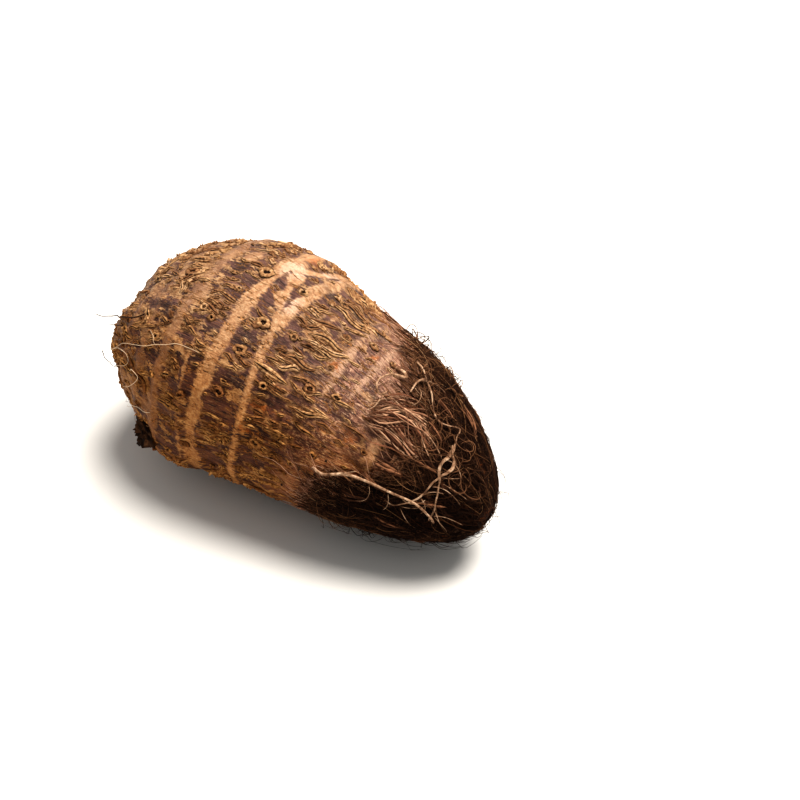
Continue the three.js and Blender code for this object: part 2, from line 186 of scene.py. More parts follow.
def fair_radius(s):
    """Radius of the fair body, in mm, at s mm along the axis."""
    u = np.clip(np.asarray(s, float) / HALF, -1, 1)
    t = np.where(u < FATTEST_AT, (FATTEST_AT - u) / (1 + FATTEST_AT), (u - FATTEST_AT) / (1 - FATTEST_AT))
    fullness = np.where(u < FATTEST_AT, BASE_END[0], CROWN_END[0])
    bluntness = np.where(u < FATTEST_AT, BASE_END[1], CROWN_END[1])
    return GIRTH_RADIUS * np.clip(1 - t**fullness, 0, 1) ** (1 / bluntness)


def swell(s, theta):
    """Height in mm of the large swells and hollows over the fair body."""
    height = np.zeros(np.broadcast(s, theta).shape)
    for at, degrees, rise, spread in SWELLS:
        away = np.hypot(s - at, turn_between(theta, degrees) * GIRTH_RADIUS) / spread
        height = height + rise * np.exp(-away * away)
    return height * np.minimum(1, fair_radius(s) / FADE_RADIUS)


def skin_points(s, theta, lift):
    """Points in metres: s mm along, theta radians round, lift mm out along the skin's normal."""
    lift = lift + swell(s, theta)
    s, theta, lift = np.broadcast_arrays(s, theta, lift)
    angle = np.arccos(np.clip(-s / HALF, -1, 1))
    before = -np.cos(np.maximum(angle - 0.01, 0)) * HALF
    after = -np.cos(np.minimum(angle + 0.01, math.pi)) * HALF
    fall = fair_radius(before) - fair_radius(after)
    run = after - before
    size = np.hypot(fall, run)
    radius = fair_radius(s)
    radius = np.where(radius < 1e-6, 0, radius + run / size * lift)
    place = s + fall / size * lift
    bow = (s / HALF) ** 2 - 0.3
    across = SIDE_BOW * bow + radius * np.cos(theta)
    above = DROP_BOW * bow + radius * np.sin(theta)
    local = place[..., None] * AXIS + across[..., None] * SIDE + above[..., None] * UPWARD
    return (BODY_ORIGIN + local) * MM


STATIONS = -np.cos(np.linspace(0, math.pi, 600)) * HALF
MERIDIAN = np.concatenate([[0], np.cumsum(np.hypot(np.diff(STATIONS), np.diff(fair_radius(STATIONS))))])
MERIDIAN -= np.interp(0, STATIONS, MERIDIAN)


def pattern_place(s, theta):
    """Place in the growth pattern, in mm: along the skin, and round a slowly tapering girth."""
    girth = 9.0 * np.maximum(fair_radius(s), 2.0) ** 0.44
    return np.stack([np.interp(s, STATIONS, MERIDIAN), girth * np.cos(theta), girth * np.sin(theta)], -1)


def smooth(low, high, value):
    t = np.clip((value - low) / (high - low), 0, 1)
    return t * t * (3 - 2 * t)


def mat_edge(theta):
    """Where the fibre mat begins, in mm along, at theta radians round."""
    knots = np.array(MAT_EDGE, float)
    angle = np.degrees(theta) % 360
    k = np.clip(np.searchsorted(knots[:, 0], angle, side="right") - 1, 0, len(knots) - 2)
    share = smooth(0, 1, (angle - knots[k, 0]) / (knots[k + 1, 0] - knots[k, 0]))
    return knots[k, 1] * (1 - share) + knots[k + 1, 1] * share


def lattice_noise(points, seed):
    """Smooth values from -1 to 1 over a unit lattice, the same on every run."""
    cell = np.floor(points).astype(np.int64)
    part = points - cell
    part = part * part * (3 - 2 * part)
    total = np.zeros(points.shape[:-1])
    for corner in itertools.product((0, 1), repeat=3):
        weight = np.prod(np.where(np.array(corner) == 1, part, 1 - part), axis=-1)
        c = cell + np.array(corner)
        mixed = (c[..., 0] * 73856093) ^ (c[..., 1] * 19349663) ^ (c[..., 2] * 83492791) ^ (seed * 40503)
        mixed = ((mixed ^ (mixed >> 13)) * 1274126177) & 0x7FFFFFFF
        total += weight * ((mixed >> 8) % 10007 / 5003.0 - 1)
    return total


def stretched_noise(s, theta, along, across, seed):
    """Noise whose features are `along` mm long and `across` mm wide."""
    return lattice_noise(pattern_place(s, theta) / np.array([along, across, across]), seed)


def turn_between(theta, degrees):
    """Signed turn in radians from `degrees` to theta."""
    return np.angle(np.exp(1j * (theta - math.radians(degrees))))


def scar_place(scar, theta):
    at, lean, toward, wave, crest = scar[:5]
    tipped = lean * np.cos(theta - math.radians(toward))
    return at + tipped + wave * np.cos(3 * (theta - math.radians(crest)))


def skin_relief(s, theta):
    """Height of the skin over the fair body: the CAD's rings, ripples and unevenness."""
    fade = np.minimum(1, fair_radius(s) / FADE_RADIUS)
    inset = s - mat_edge(theta)
    ring = np.zeros(np.broadcast(s, theta).shape)
    for scar in LEAF_SCARS:
        offset = (s - scar_place(scar, theta)) / SCAR_HALF_WIDTH
        ring = np.maximum(ring, SCAR_HEIGHT * np.exp(-offset * offset))
    ripple = RIPPLE * np.sin(17 * theta + 1.8 * np.sin(s / 13)) * np.sin(s / 8 + 4 * theta)
    swelling = 0.9 * np.sin(2 * theta + s / 31) + 0.5 * np.sin(5 * theta - s / 19)
    bare = fade * (ring + ripple + 0.6 * swelling) * (1 - smooth(-4, 2, inset))
    depth, radius = BASE_SCAR
    dish = np.where(s < 0, depth * np.exp(-((fair_radius(s) / radius) ** 4)), 0)
    return bare - dish - (MAT_THICKNESS - MAT_PROUD) * smooth(-SINK_RUN / 2, SINK_RUN / 2, inset)


def patch_cover(s, theta, patches):
    """How far inside the nearest patch a point is: 1 at its middle, 0 at its edge, less outside."""
    best = np.full(np.broadcast(s, theta).shape, -9.0)
    for at, degrees, along, across in patches:
        arc = turn_between(theta, degrees) * fair_radius(at)
        best = np.maximum(best, 1 - np.hypot((s - at) / along, arc / across))
    return best


def away_from_line(s, theta, line):
    """Distance in mm from a line over the skin through places of (mm along, degrees round)."""
    nearest = np.full(np.broadcast(s, theta).shape, 99.0)
    for (s0, degrees0), (s1, degrees1) in zip(line, line[1:]):
        girth = fair_radius((s0 + s1) / 2)
        run, turn = s1 - s0, math.radians(degrees1 - degrees0) * girth
        past, arc = s - s0, turn_between(theta, degrees0) * girth
        share = np.clip((past * run + arc * turn) / (run * run + turn * turn), 0, 1)
        nearest = np.minimum(nearest, np.hypot(past - share * run, arc - share * turn))
    return nearest


def flank_shading_share(theta):
    """Share of the painted flank shade: none on the top, whole on the flanks and below."""
    return smooth(20, 80, np.degrees(np.abs(turn_between(theta, 90))))


def pale_cover(s, theta):
    """Signed depth in mm inside the pale leaf-scar bands and bare patches; negative outside."""
    best = np.full(np.broadcast(s, theta).shape, -30.0)
    for number, scar in enumerate(LEAF_SCARS):
        half, centre, spread, shift = scar[5:]
        shown = smooth(spread, spread * 0.6, np.degrees(np.abs(turn_between(theta, centre))))
        vary = 1 + 0.5 * stretched_noise(s * 0, theta, 50, 9, 60 + number)
        width = half * shown * vary - 3.0 * (1 - shown)
        best = np.maximum(best, width - np.abs(s - scar_place(scar, theta) - shift))
    for half, line in PALE_STREAKS:
        best = np.maximum(best, half - away_from_line(s, theta, line))
    patches = patch_cover(s, theta, PALE_PATCHES) * 4.0
    return np.maximum(best, patches)


def scar_hollow(s, theta):
    """Depth in mm of the small pits under the root scars."""
    depth = np.zeros(np.broadcast(s, theta).shape)
    for at, degrees, radius in ROOT_SCARS:
        arc = turn_between(theta, degrees) * fair_radius(at)
        away = np.hypot(s - at, arc) / (radius * 0.8)
        depth = np.maximum(depth, 1.3 * np.exp(-(away**4)))
    return depth


def neck_folds(s, theta):
    """1 in the grooves between the long loose folds of papery skin on the neck, where the skin is sunk and
    painted dark as shade.
    """
    seam = stretched_noise(s, theta, 34, 4.2, 15) / 0.2
    neck = smooth(-16, 4, s) * smooth(38, 26, s) * smooth(0.7, 0.4, np.abs(turn_between(theta, 50)))
    return neck * np.exp(-seam * seam)


def fine_relief(s, theta):
    """The skin's own roughness, its crests as high as the CAD's surface: papery lengthwise folds,
    smoother on the pale bands, and creases as rough as old bark on the base end."""
    fade = np.minimum(1, fair_radius(s) / ROUGH_FADE_RADIUS)
    rough = 1 - 0.75 * smooth(-0.5, 1.5, pale_cover(s, theta))
    gnarled = 1 + 1.1 * smooth(-34, -58, s)
    folds = 0.30 * stretched_noise(s, theta, 16, 3.4, 1) + 0.24 * stretched_noise(s, theta, 8, 1.7, 2)
    lumps = 0.35 * stretched_noise(s, theta, 12, 10, 3)
    grooves = 0.5 * neck_folds(s, theta) + SET_BACK
    return fade * (rough * gnarled * folds + lumps - grooves) - scar_hollow(s, theta)


def skin_lift(s, theta):
    return skin_relief(s, theta) + fine_relief(s, theta)


def linear(code):
    """sRGB hex as linear red, green, blue and alpha."""
    parts = [int(code[k:k + 2], 16) / 255 for k in (1, 3, 5)]
    return [c / 12.92 if c <= 0.04045 else ((c + 0.055) / 1.055) ** 2.4 for c in parts] + [1.0]


def node(tree, kind, inputs=(), output=0, stops=None, **settings):
    """Adds a node and gives one of its outputs. Inputs, in order or by name, are numbers, hex
    colours, or outputs of other nodes to link; stops are the colours of a ramp."""
    made = tree.nodes.new("ShaderNode" + kind)
    for name, value in settings.items():
        setattr(made, name, value)
    for key, value in inputs.items() if isinstance(inputs, dict) else enumerate(inputs):
        if isinstance(value, bpy.types.NodeSocket):
            tree.links.new(value, made.inputs[key])
        else:
            made.inputs[key].default_value = linear(value) if isinstance(value, str) else value
    if stops:
        elements = made.color_ramp.elements
        while len(elements) < len(stops):
            elements.new(0.5)
        for element, (position, code) in zip(elements, stops):
            element.position = position
            element.color = linear(code)
    return made.outputs[output]


# Settings of the nodes that are used most; a MapRange takes a value, the range it is in and the new one
PLUS = {"operation": "ADD"}
MINUS = {"operation": "SUBTRACT"}
TIMES = {"operation": "MULTIPLY"}
LARGER = {"operation": "MAXIMUM"}
EASED = {"interpolation_type": "SMOOTHSTEP"}
BLENDED = {"output": 2, "data_type": "RGBA"}
MULTIPLIED = {"output": 2, "data_type": "RGBA", "blend_type": "MULTIPLY"}


def new_material(name, roughness, specular=0.5):
    made = bpy.data.materials.new(name)
    made.use_nodes = True
    shader = made.node_tree.nodes["Principled BSDF"]
    shader.inputs["Roughness"].default_value = roughness
    shader.inputs["Specular IOR Level"].default_value = specular
    return made, made.node_tree, shader


def finish_piece(mesh, name, material, replaced=None):
    """Makes the object of a mesh, rides it on the root and names what it stands for."""
    mesh.name = name
    piece = bpy.data.objects.new(name, mesh)
    bpy.context.scene.collection.objects.link(piece)
    mesh.materials.clear()
    mesh.materials.append(material)
    mesh.shade_smooth()
    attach(piece, "root")
    if replaced:
        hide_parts(replaced)
    return piece


def set_points(mesh, points):
    mesh.vertices.foreach_set("co", np.ascontiguousarray(points, dtype=np.float32).ravel())
    mesh.update()


def add_field(mesh, name, values):
    """Stores one number, or one vector, for each point of the mesh."""
    kind, key = ("FLOAT", "value") if np.ndim(values) == 1 else ("FLOAT_VECTOR", "vector")
    layer = mesh.attributes.new(name, kind, "POINT")
    layer.data.foreach_set(key, np.ascontiguousarray(values, dtype=np.float32).ravel())


def ball_mesh(sides, rings):
    """A closed ball of quads, with each point's ring, counted from its top pole, and its turn."""
    bm = bmesh.new()
    bmesh.ops.create_uvsphere(bm, u_segments=sides, v_segments=rings, radius=1.0)
    mesh = bpy.data.meshes.new("ball")
    bm.to_mesh(mesh)
    bm.free()
    co = np.array([v.co for v in mesh.vertices], float)
    ring = np.rint(np.arccos(np.clip(co[:, 2], -1, 1)) / math.pi * rings).astype(int)
    turn = np.arctan2(co[:, 1], co[:, 0])
    return mesh, ring, turn


def repeated(template, count):
    """One mesh with `count` copies of a template, in order."""
    bm = bmesh.new()
    for _ in range(count):
        bm.from_mesh(template)
    mesh = bpy.data.meshes.new("repeated")
    bm.to_mesh(mesh)
    bm.free()
    bpy.data.meshes.remove(template)
    return mesh


def unit(vectors):
    return vectors / np.maximum(np.linalg.norm(vectors, axis=-1, keepdims=True), 1e-12)


def strands(paths, radii, sides, facing, flatten=1.0, tones=None):
    """Tapered strands. paths is (count, rings + 1, 3) in metres, radii the same in mm, facing the
    direction, for each point of a path, that the strand's flat side looks along, and flatten how
    thick the strand is that way, as a share of its width."""
    count, points = radii.shape
    template, ring, turn = ball_mesh(sides, points - 1)
    mesh = repeated(template, count)
    run = unit(np.gradient(paths, axis=1))
    across = unit(np.cross(run, facing))
    above = np.cross(across, run)
    size = radii * MM
    size[:, 0] = 0
    size[:, -1] = 0
    thick = np.broadcast_to(flatten, radii.shape)[:, ring, None]
    sideways = np.cos(turn)[None, :, None] * across[:, ring]
    swing = sideways + thick * np.sin(turn)[None, :, None] * above[:, ring]
    set_points(mesh, (paths[:, ring] + size[:, ring, None] * swing).reshape(-1, 3))
    own = RNG.random(count)
    add_field(mesh, "tone", np.repeat(own if tones is None else tones, len(ring)))
    add_field(mesh, "along", np.tile(ring / (points - 1), count))
    return mesh


def outward(s, theta):
    return unit(skin_points(s, theta, 1.0) - skin_points(s, theta, 0.0))


def smooth_route(route, points):
    """A route of (mm along, degrees, mm above) as evenly parted points, rounded at its corners."""
    knots = np.array(route, float)
    knots[:, 1] = np.radians(knots[:, 1])
    ends = np.vstack([2 * knots[0] - knots[1], knots, 2 * knots[-1] - knots[-2]])
    result = []
    for value in np.linspace(0, len(knots) - 1.001, points):
        k = int(value)
        t = value - k
        a, b, c, d = ends[k:k + 4]
        result.append(0.5 * (2 * b + (c - a) * t + (2 * a - 5 * b + 4 * c - d) * t**2
                             + (3 * b - a - 3 * c + d) * t**3))
    return np.array(result)


def growth_grain(tree, along_mm, across_mm, detail, roughness=0.6):
    """Noise with features of that length and width in mm on the growth pattern."""
    place = node(tree, "Attribute", output="Vector", attribute_name="growth")
    scale = (1 / along_mm, 1 / across_mm, 1 / across_mm)
    scaled = node(tree, "Mapping", {"Vector": place, "Scale": scale})
    return node(tree, "TexNoise", {"Vector": scaled, "Scale": 1.0, "Detail": detail,
                "Roughness": roughness})


def object_grain(tree, scale, detail, roughness=0.5):
    """Noise over the object's own coordinates, in metres."""
    place = node(tree, "TexCoord", output="Object")
    return node(tree, "TexNoise", {"Vector": place, "Scale": scale, "Detail": detail,
                "Roughness": roughness})


def growth_swing(tree, along_mm, across_mm, detail, size):
    """Noise on the growth pattern, turned to a swing of that size about nothing."""
    centred = node(tree, "Math", (growth_grain(tree, along_mm, across_mm, detail), 0.5), **MINUS)
    return node(tree, "Math", (centred, size), **TIMES)


def film_colour(tree, streak, soft):
    """The papery film: mahogany to violet brown, darker where folded, crinkled near the crown."""
    zone = node(tree, "ValToRGB", (growth_grain(tree, 12, 5.5, 3),), stops=(
        (0.30, "#2b140c"), (0.42, "#42241a"), (0.51, "#533129"), (0.60, "#644138"), (0.72, "#785036")))
    dark_streaks = node(tree, "MapRange", (streak, 0.49, 0.36), **EASED)
    film = node(tree, "Mix", {0: dark_streaks, 6: zone, 7: "#210d05"}, **BLENDED)
    light_streaks = node(tree, "MapRange", (streak, 0.56, 0.70, 0, 0.6), **EASED)
    film = node(tree, "Mix", {0: light_streaks, 6: film, 7: "#99683f"}, **BLENDED)
    crosswise = node(tree, "Math", (growth_grain(tree, 0.9, 3.2, 3), 0.05), **MINUS)
    threads = node(tree, "Math", (growth_grain(tree, 8, 0.5, 4, 0.7), crosswise), **LARGER)
    crinkled = node(tree, "ValToRGB", (threads,), stops=(
        (0.39, "#32180f"), (0.48, "#6e4436"), (0.56, "#a0735c"), (0.66, "#d6ae90")))
    still_filmed = node(tree, "MapRange", (growth_grain(tree, 9, 3.5, 3), 0.47, 0.55, 0.15, 1.0), **EASED)
    neck = node(tree, "Math", (soft, still_filmed), **TIMES)
    return node(tree, "Mix", {0: neck, 6: film, 7: crinkled}, **BLENDED)


def torn_share(tree, base, soft):
    """How near the film is to being torn away: more so on the base end, less on the neck."""
    patches = growth_grain(tree, 10, 7, 3, 0.55)
    torn = node(tree, "Math", (patches, growth_swing(tree, 2.8, 0.8, 3, 0.42)), **PLUS)
    torn = node(tree, "Math", (torn, node(tree, "Math", (base, 0.115), **TIMES)), **PLUS)
    return node(tree, "Math", (torn, node(tree, "Math", (soft, 0.05), **TIMES)), **MINUS)


def golden_cork(tree, soft):
    """The cork under the film."""
    tan = node(tree, "ValToRGB", (growth_grain(tree, 3.2, 1.7, 5, 0.72),), stops=(
        (0.32, "#634027"), (0.45, "#916843"), (0.56, "#b0885f"), (0.70, "#cba47e")))
    paler = node(tree, "Math", (soft, 0.3), **TIMES)
    return node(tree, "Mix", {0: paler, 6: tan, 7: "#b98b6c"}, **BLENDED)


def ring_cover(tree, pale, base, soft):
    """Share of the pale rings and bare patches, with a ragged edge of short lengthwise teeth."""
    teeth = node(tree, "Math", (growth_swing(tree, 3.0, 0.8, 3, 3.6), pale), **PLUS)
    ragged = node(tree, "Math", (growth_swing(tree, 5, 3, 2, 3.0), teeth), **PLUS)
    cover = node(tree, "MapRange", (ragged, -0.8, 0.8), **EASED)
    for field, loss in ((soft, 0.3), (base, 0.4)):
        kept = node(tree, "Math", (1.0, node(tree, "Math", (field, loss), **TIMES)), **MINUS)
        cover = node(tree, "Math", (cover, kept), **TIMES)
    return cover


def ring_colour(tree, bleach, base, soft):
    """Smooth pale cork, duller on the base end, pinker on the neck and near white where bleached."""
    corky = growth_grain(tree, 2.2, 1.6, 4, 0.7)
    cork = node(tree, "ValToRGB", (corky,), stops=(
        (0.30, "#8d5f3f"), (0.44, "#aa7c55"), (0.56, "#c0946c"), (0.70, "#d3ae8a")))
    for field, share, tint in ((base, 0.8, "#8a6044"), (soft, 0.6, "#cfa890")):
        tinted = node(tree, "Math", (field, share), **TIMES)
        cork = node(tree, "Mix", {0: tinted, 6: cork, 7: tint}, **BLENDED)
    bleached = node(tree, "ValToRGB", (corky,), stops=(
        (0.32, "#b5896a"), (0.48, "#cda587"), (0.66, "#dfbda2")))
    patchy = node(tree, "Math", (bleach, growth_swing(tree, 5, 4, 3, 1.2)), **PLUS)
    bare = node(tree, "MapRange", (patchy, 0.0, 0.6), **EASED)
    return node(tree, "Mix", {0: bare, 6: cork, 7: bleached}, **BLENDED)


def split_lines(tree):
    """Fine split lines in broken runs: the shares of their lips and of the crack between."""
    middle = node(tree, "Math", (growth_grain(tree, 10, 2.2, 2, 0.5), 0.5), **MINUS)
    away = node(tree, "Math", (middle,), operation="ABSOLUTE")
    broken = node(tree, "MapRange", (growth_grain(tree, 14, 5, 2), 0.46, 0.56), **EASED)
    return [node(tree, "Math", (node(tree, "MapRange", (away, outer, inner), **EASED), broken), **TIMES)
            for outer, inner in ((0.040, 0.018), (0.014, 0.005))]


def shade_sheen_and_grit(tree, bark, flank_shading):
    """The flanks painted a deeper brown than the top as shade, the top given a thin grey painted sheen, and
    grit.
    """
    bark = node(tree, "Mix", {0: flank_shading, 6: bark, 7: FLANK_SHADE_TINT}, **MULTIPLIED)
    # Painted sheen: a thin grey veil on the top
    painted_sheen = node(tree, "MapRange", (flank_shading, 0.0, 1.0, 0.05, 0.0), **EASED)
    bark = node(tree, "Mix", {0: painted_sheen, 6: bark, 7: "#b3a8a6"}, **BLENDED)
    grit = node(tree, "ValToRGB", (growth_grain(tree, 0.7, 0.45, 3, 0.8),), stops=(
        (0.32, "#5c5c5c"), (0.50, "#d4d4d4"), (0.64, "#ffffff")))
    return node(tree, "Mix", {0: 0.45, 6: bark, 7: grit}, **MULTIPLIED)


def bark_bump(tree, streak, lips, crack, worn):
    """Relief too fine for the mesh: streaks, split lines, torn edges and grain."""
    height = node(tree, "Math", (streak, 0.55), **TIMES)
    grain = growth_grain(tree, 1.1, 0.6, 3, 0.7)
    for pattern, depth, way in (
        (lips, 0.30, PLUS), (crack, 0.60, MINUS), (worn, 0.16, MINUS), (grain, 0.40, PLUS),
    ):
        height = node(tree, "Math", (height, node(tree, "Math", (pattern, depth), **TIMES)), **way)
    return node(tree, "Bump", {"Height": height, "Strength": 0.85, "Distance": 0.0012})


def skin_material():
    """Corky bark of a dry taro corm: torn films of papery purple-brown skin over golden tan cork,
    streaked lengthwise, crossed by smooth pale rings with ragged edges, rusty in places, deeper
    brown on its flanks as painted shade and greyed on its top as painted sheen, and with next to no shine."""
    made, tree, shader = new_material("dry_taro_bark", 0.55, 0.1)
    fields = ("pale_depth", "rust", "crown", "pit", "base", "halo", "soft", "bleach", "groove_shade", "flank_shading")
    pale, rust, crown, pit, base, halo, soft, bleach, groove_shade, flank_shading = [
        node(tree, "Attribute", output="Fac", attribute_name=name) for name in fields]
    streak = growth_grain(tree, 9, 0.55, 4, 0.65)
    torn = torn_share(tree, base, soft)
    worn = node(tree, "MapRange", (torn, 0.575, 0.60), **EASED)
    torn_from, torn_to = [
        node(tree, "MapRange", (torn, low, high), **EASED) for low, high in ((0.55, 0.573), (0.595, 0.575))]
    torn_edge = node(tree, "Math", (torn_from, torn_to), **TIMES)
    tan = golden_cork(tree, soft)
    cover = ring_cover(tree, pale, base, soft)
    lips, crack = split_lines(tree)
    near_split = node(tree, "Math", (halo, growth_swing(tree, 2.6, 0.9, 3, 1.6)), **PLUS)
    bruise = node(tree, "Math", (rust, growth_swing(tree, 3, 2.4, 4, 2.4)), **PLUS)
    papery = node(tree, "ValToRGB", (growth_grain(tree, 12, 0.7, 4, 0.7),), stops=(
        (0.34, "#43200f"), (0.44, "#8a5539"), (0.53, "#c08a6a"), (0.64, "#e6bb9b")))
    banded = node(tree, "Math", (cover, 0.75), **TIMES)
    unbanded = node(tree, "Math", (1.0, banded), **MINUS)
    long_cracks = node(tree, "MapRange", (streak, 0.43, 0.36, 0, 0.85), **EASED)
    flecks = node(tree, "MapRange", (growth_grain(tree, 2.2, 0.5, 3, 0.75), 0.57, 0.66, 0, 0.7), **EASED)
    on_neck = node(tree, "Math", (node(tree, "Math", (soft, 0.7), **TIMES), 0.3), **PLUS)

    # From the film up: torn cork and its edge, the pale rings, the golden flanks and lines of the
    # splits, bruises, the papery crown end, its cracks, painted shade in its fold grooves, dark pits, torn
    # flecks
    bark = film_colour(tree, streak, soft)
    for share, colour in (
        (worn, tan),
        (node(tree, "Math", (torn_edge, 0.55), **TIMES), "#2a1208"),
        (cover, ring_colour(tree, bleach, base, soft)),
        (node(tree, "MapRange", (near_split, 0.45, 0.85, 0, 0.6), **EASED), tan),
        (node(tree, "Math", (lips, 0.7), **TIMES), "#b67a3c"),
        (node(tree, "Math", (crack, 0.9), **TIMES), "#1a0a04"),
        (node(tree, "MapRange", (bruise, 0.15, 0.95, 0, 0.7), **EASED), "#b3682c"),
        (node(tree, "Math", (node(tree, "Math", (crown, 0.75), **TIMES), unbanded), **TIMES), papery),
        (node(tree, "Math", (long_cracks, soft), **TIMES), "#2b150d"),
        # Painted shade in the grooves between the neck's folds
        (node(tree, "Math", (groove_shade, 0.85), **TIMES), "#1f0f08"),
        # The pits under the root scars are darkened to near black
        (pit, "#1c0e07"),
        (node(tree, "Math", (flecks, on_neck), **TIMES), "#e0bb9a"),
    ):
        bark = node(tree, "Mix", {0: share, 6: bark, 7: colour}, **BLENDED)
    tree.links.new(shade_sheen_and_grit(tree, bark, flank_shading), shader.inputs["Base Color"])
    tree.links.new(bark_bump(tree, streak, lips, crack, worn), shader.inputs["Normal"])
    return made


def cork_material():
    """Torn cork of the split ridges and root scars: dull tan, dry rims round a dark crack."""
    made, tree, shader = new_material("torn_cork", 0.8, 0.08)
    crack, tone, flank_shading = [
        node(tree, "Attribute", output="Fac", attribute_name=name) for name in ("crack", "tone", "flank_shading")]
    grit = object_grain(tree, 900.0, 4.0)
    colour = node(tree, "ValToRGB", (tone,), stops=(
        (0.0, "#583b25"), (0.35, "#855f41"), (0.7, "#ab855d"), (1.0, "#cfa983")))
    gritty = node(tree, "MapRange", (grit, 0.42, 0.66, 0.0, 0.75))
    colour = node(tree, "Mix", {0: gritty, 6: colour, 7: "#4f2b14"}, **BLENDED)
    # Painted shade: the flanks deepened by the same tint as the skin's
    colour = node(tree, "Mix", {0: flank_shading, 6: colour, 7: FLANK_SHADE_TINT}, **MULTIPLIED)
    # Painted shadow: the crack share darkens the split cracks and root-scar holes, partly their own dark,
    # and half darkens the lips' outer flanks and the scars' feet; the stub's dark is its own
    deep = node(tree, "MapRange", (crack, 0.3, 0.7))
    colour = node(tree, "Mix", {0: deep, 6: colour, 7: "#170a04"}, **BLENDED)
    tree.links.new(colour, shader.inputs["Base Color"])
    bump = node(tree, "Bump", {"Height": grit, "Strength": 0.6, "Distance": 0.0005})
    tree.links.new(bump, shader.inputs["Normal"])
    return made


def fibre_material(name, dark, middle, light, roughness):
    """Dried plant fibre: each strand has its own tone, is darker at its root and has next to no
    shine."""
    made, tree, shader = new_material(name, roughness, 0.08)
    tone = node(tree, "Attribute", output="Fac", attribute_name="tone")
    along = node(tree, "Attribute", output="Fac", attribute_name="along")
    colour = node(tree, "ValToRGB", (tone,), stops=(
        (0.0, dark), (0.55, middle), (0.9, light), (1.0, light)))
    dusty = node(tree, "MapRange", (object_grain(tree, 420.0, 3.0), 0.35, 0.7, 0.45, 0.0))
    near_root = node(tree, "MapRange", (along, 0.0, 0.2, 0.6, 0.0))
    for share in (dusty, near_root):
        colour = node(tree, "Mix", {0: share, 6: colour, 7: dark}, **BLENDED)
    tree.links.new(colour, shader.inputs["Base Color"])
    return made


def root_material():
    """Dried pale root: greyed tan skin, blotched, with dark nicks."""
    made, tree, shader = new_material("dry_root_skin", 0.75, 0.1)
    blotch = object_grain(tree, 260.0, 4.0, 0.65)
    skin = node(tree, "ValToRGB", (blotch,), stops=(
        (0.34, "#472f20"), (0.44, "#72543e"), (0.54, "#99785e"), (0.66, "#c2a488")))
    nicked = node(tree, "MapRange", (object_grain(tree, 1300.0, 2.0), 0.60, 0.68, 0.0, 0.7))
    colour = node(tree, "Mix", {0: nicked, 6: skin, 7: "#3d2617"}, **BLENDED)
    tree.links.new(colour, shader.inputs["Base Color"])
    bump = node(tree, "Bump", {"Height": blotch, "Strength": 0.7, "Distance": 0.0006})
    tree.links.new(bump, shader.inputs["Normal"])
    return made


def soil_material():
    """Dry soil: near-black brown crumbs, gritty and dull."""
    made, tree, shader = new_material("dry_soil", 0.92, 0.15)
    grit = object_grain(tree, 1500.0, 4.0)
    colour = node(tree, "ValToRGB", (grit,), stops=(
        (0.35, "#1c110a"), (0.55, "#3d2717"), (0.7, "#5c3f28")))
    tree.links.new(colour, shader.inputs["Base Color"])
    bump = node(tree, "Bump", {"Height": grit, "Strength": 0.6, "Distance": 0.0004})
    tree.links.new(bump, shader.inputs["Normal"])
    return made


SKIN_AROUND = 500
SKIN_ALONG = 198


def skin_stations(share):
    """Rows closer together towards both poles."""
    even = 2 * share - 1
    return HALF * (0.72 * even - 0.28 * np.cos(math.pi * share))


def make_skin(material, splits):
    """The corm's closed skin, with the fields that its bark is coloured by."""
    bm = bmesh.new()
    bmesh.ops.create_grid(bm, x_segments=SKIN_AROUND, y_segments=SKIN_ALONG, size=1.0)
    mesh = bpy.data.meshes.new("skin")
    bm.to_mesh(mesh)
    flat = np.array([v.co for v in mesh.vertices], float)
    theta = -flat[:, 0] * math.pi - math.pi / 2
    s = skin_stations((flat[:, 1] + 1) / 2)
    set_points(mesh, skin_points(s, theta, skin_lift(s, theta)))
    add_field(mesh, "growth", pattern_place(s, theta))
    add_field(mesh, "pale_depth", pale_cover(s, theta))
    add_field(mesh, "rust", patch_cover(s, theta, RUST_PATCHES))
    film = smooth_film(s, theta)
    add_field(mesh, "crown", smooth(-24, -3, s - mat_edge(theta)) * (1 - 0.85 * film))
    add_field(mesh, "pit", smooth(0.5, 1.1, scar_hollow(s, theta)))
    add_field(mesh, "base", smooth(-28, -56, s))
    add_field(mesh, "soft", smooth(10, 28, s) * (1 - 0.7 * film))
    add_field(mesh, "halo", split_closeness(s, theta, splits))
    add_field(mesh, "bleach", patch_cover(s, theta, BLEACHED_PATCHES))
    # Painted shade: the share by which the flanks are deepened; where it is nothing, the top gets a painted
    # grey sheen
    add_field(mesh, "flank_shading", flank_shading_share(theta))
    add_field(mesh, "groove_shade", neck_folds(s, theta))
    bm.clear()
    bm.from_mesh(mesh)
    bmesh.ops.remove_doubles(bm, verts=bm.verts, dist=1e-6)
    floor_cut(bm)
    bm.to_mesh(mesh)
    bm.free()
    return finish_piece(mesh, "corm_skin", material, "corm")


def floor_cut(bm):
    """Presses what would pass the floor flat against it."""
    for vert in bm.verts:
        if vert.co.z < 0.0:
            vert.co.z = 0.0


def smooth_film(s, theta):
    """1 where the last of the bare skin, on the near side of the crown, keeps its smooth dark film."""
    return smooth(40, 46, s) * smooth(0.45, 0.25, np.abs(turn_between(theta, 140)))


def lip_places(count):
    """Seeded places of the split ridges: everywhere but on the pale bands and under the mat, and
    few of them on the soft papery skin towards the crown."""
    s = RNG.uniform(-86, 58, count * 4)
    theta = RNG.uniform(0, 2 * math.pi, count * 4)
    clear = pale_cover(s, theta) < RNG.uniform(-1.5, 1.0, count * 4)
    thick = stretched_noise(s, theta, 24, 13, 9) > RNG.uniform(-0.9, 0.35, count * 4)
    roomy = RNG.uniform(0, GIRTH_RADIUS, count * 4) < fair_radius(s)
    sparse = RNG.random(count * 4) > 0.6 * smooth(8, 26, s)
    kept = clear & thick & roomy & sparse & (s < mat_edge(theta) + 2)
    return s[kept][:count], theta[kept][:count]


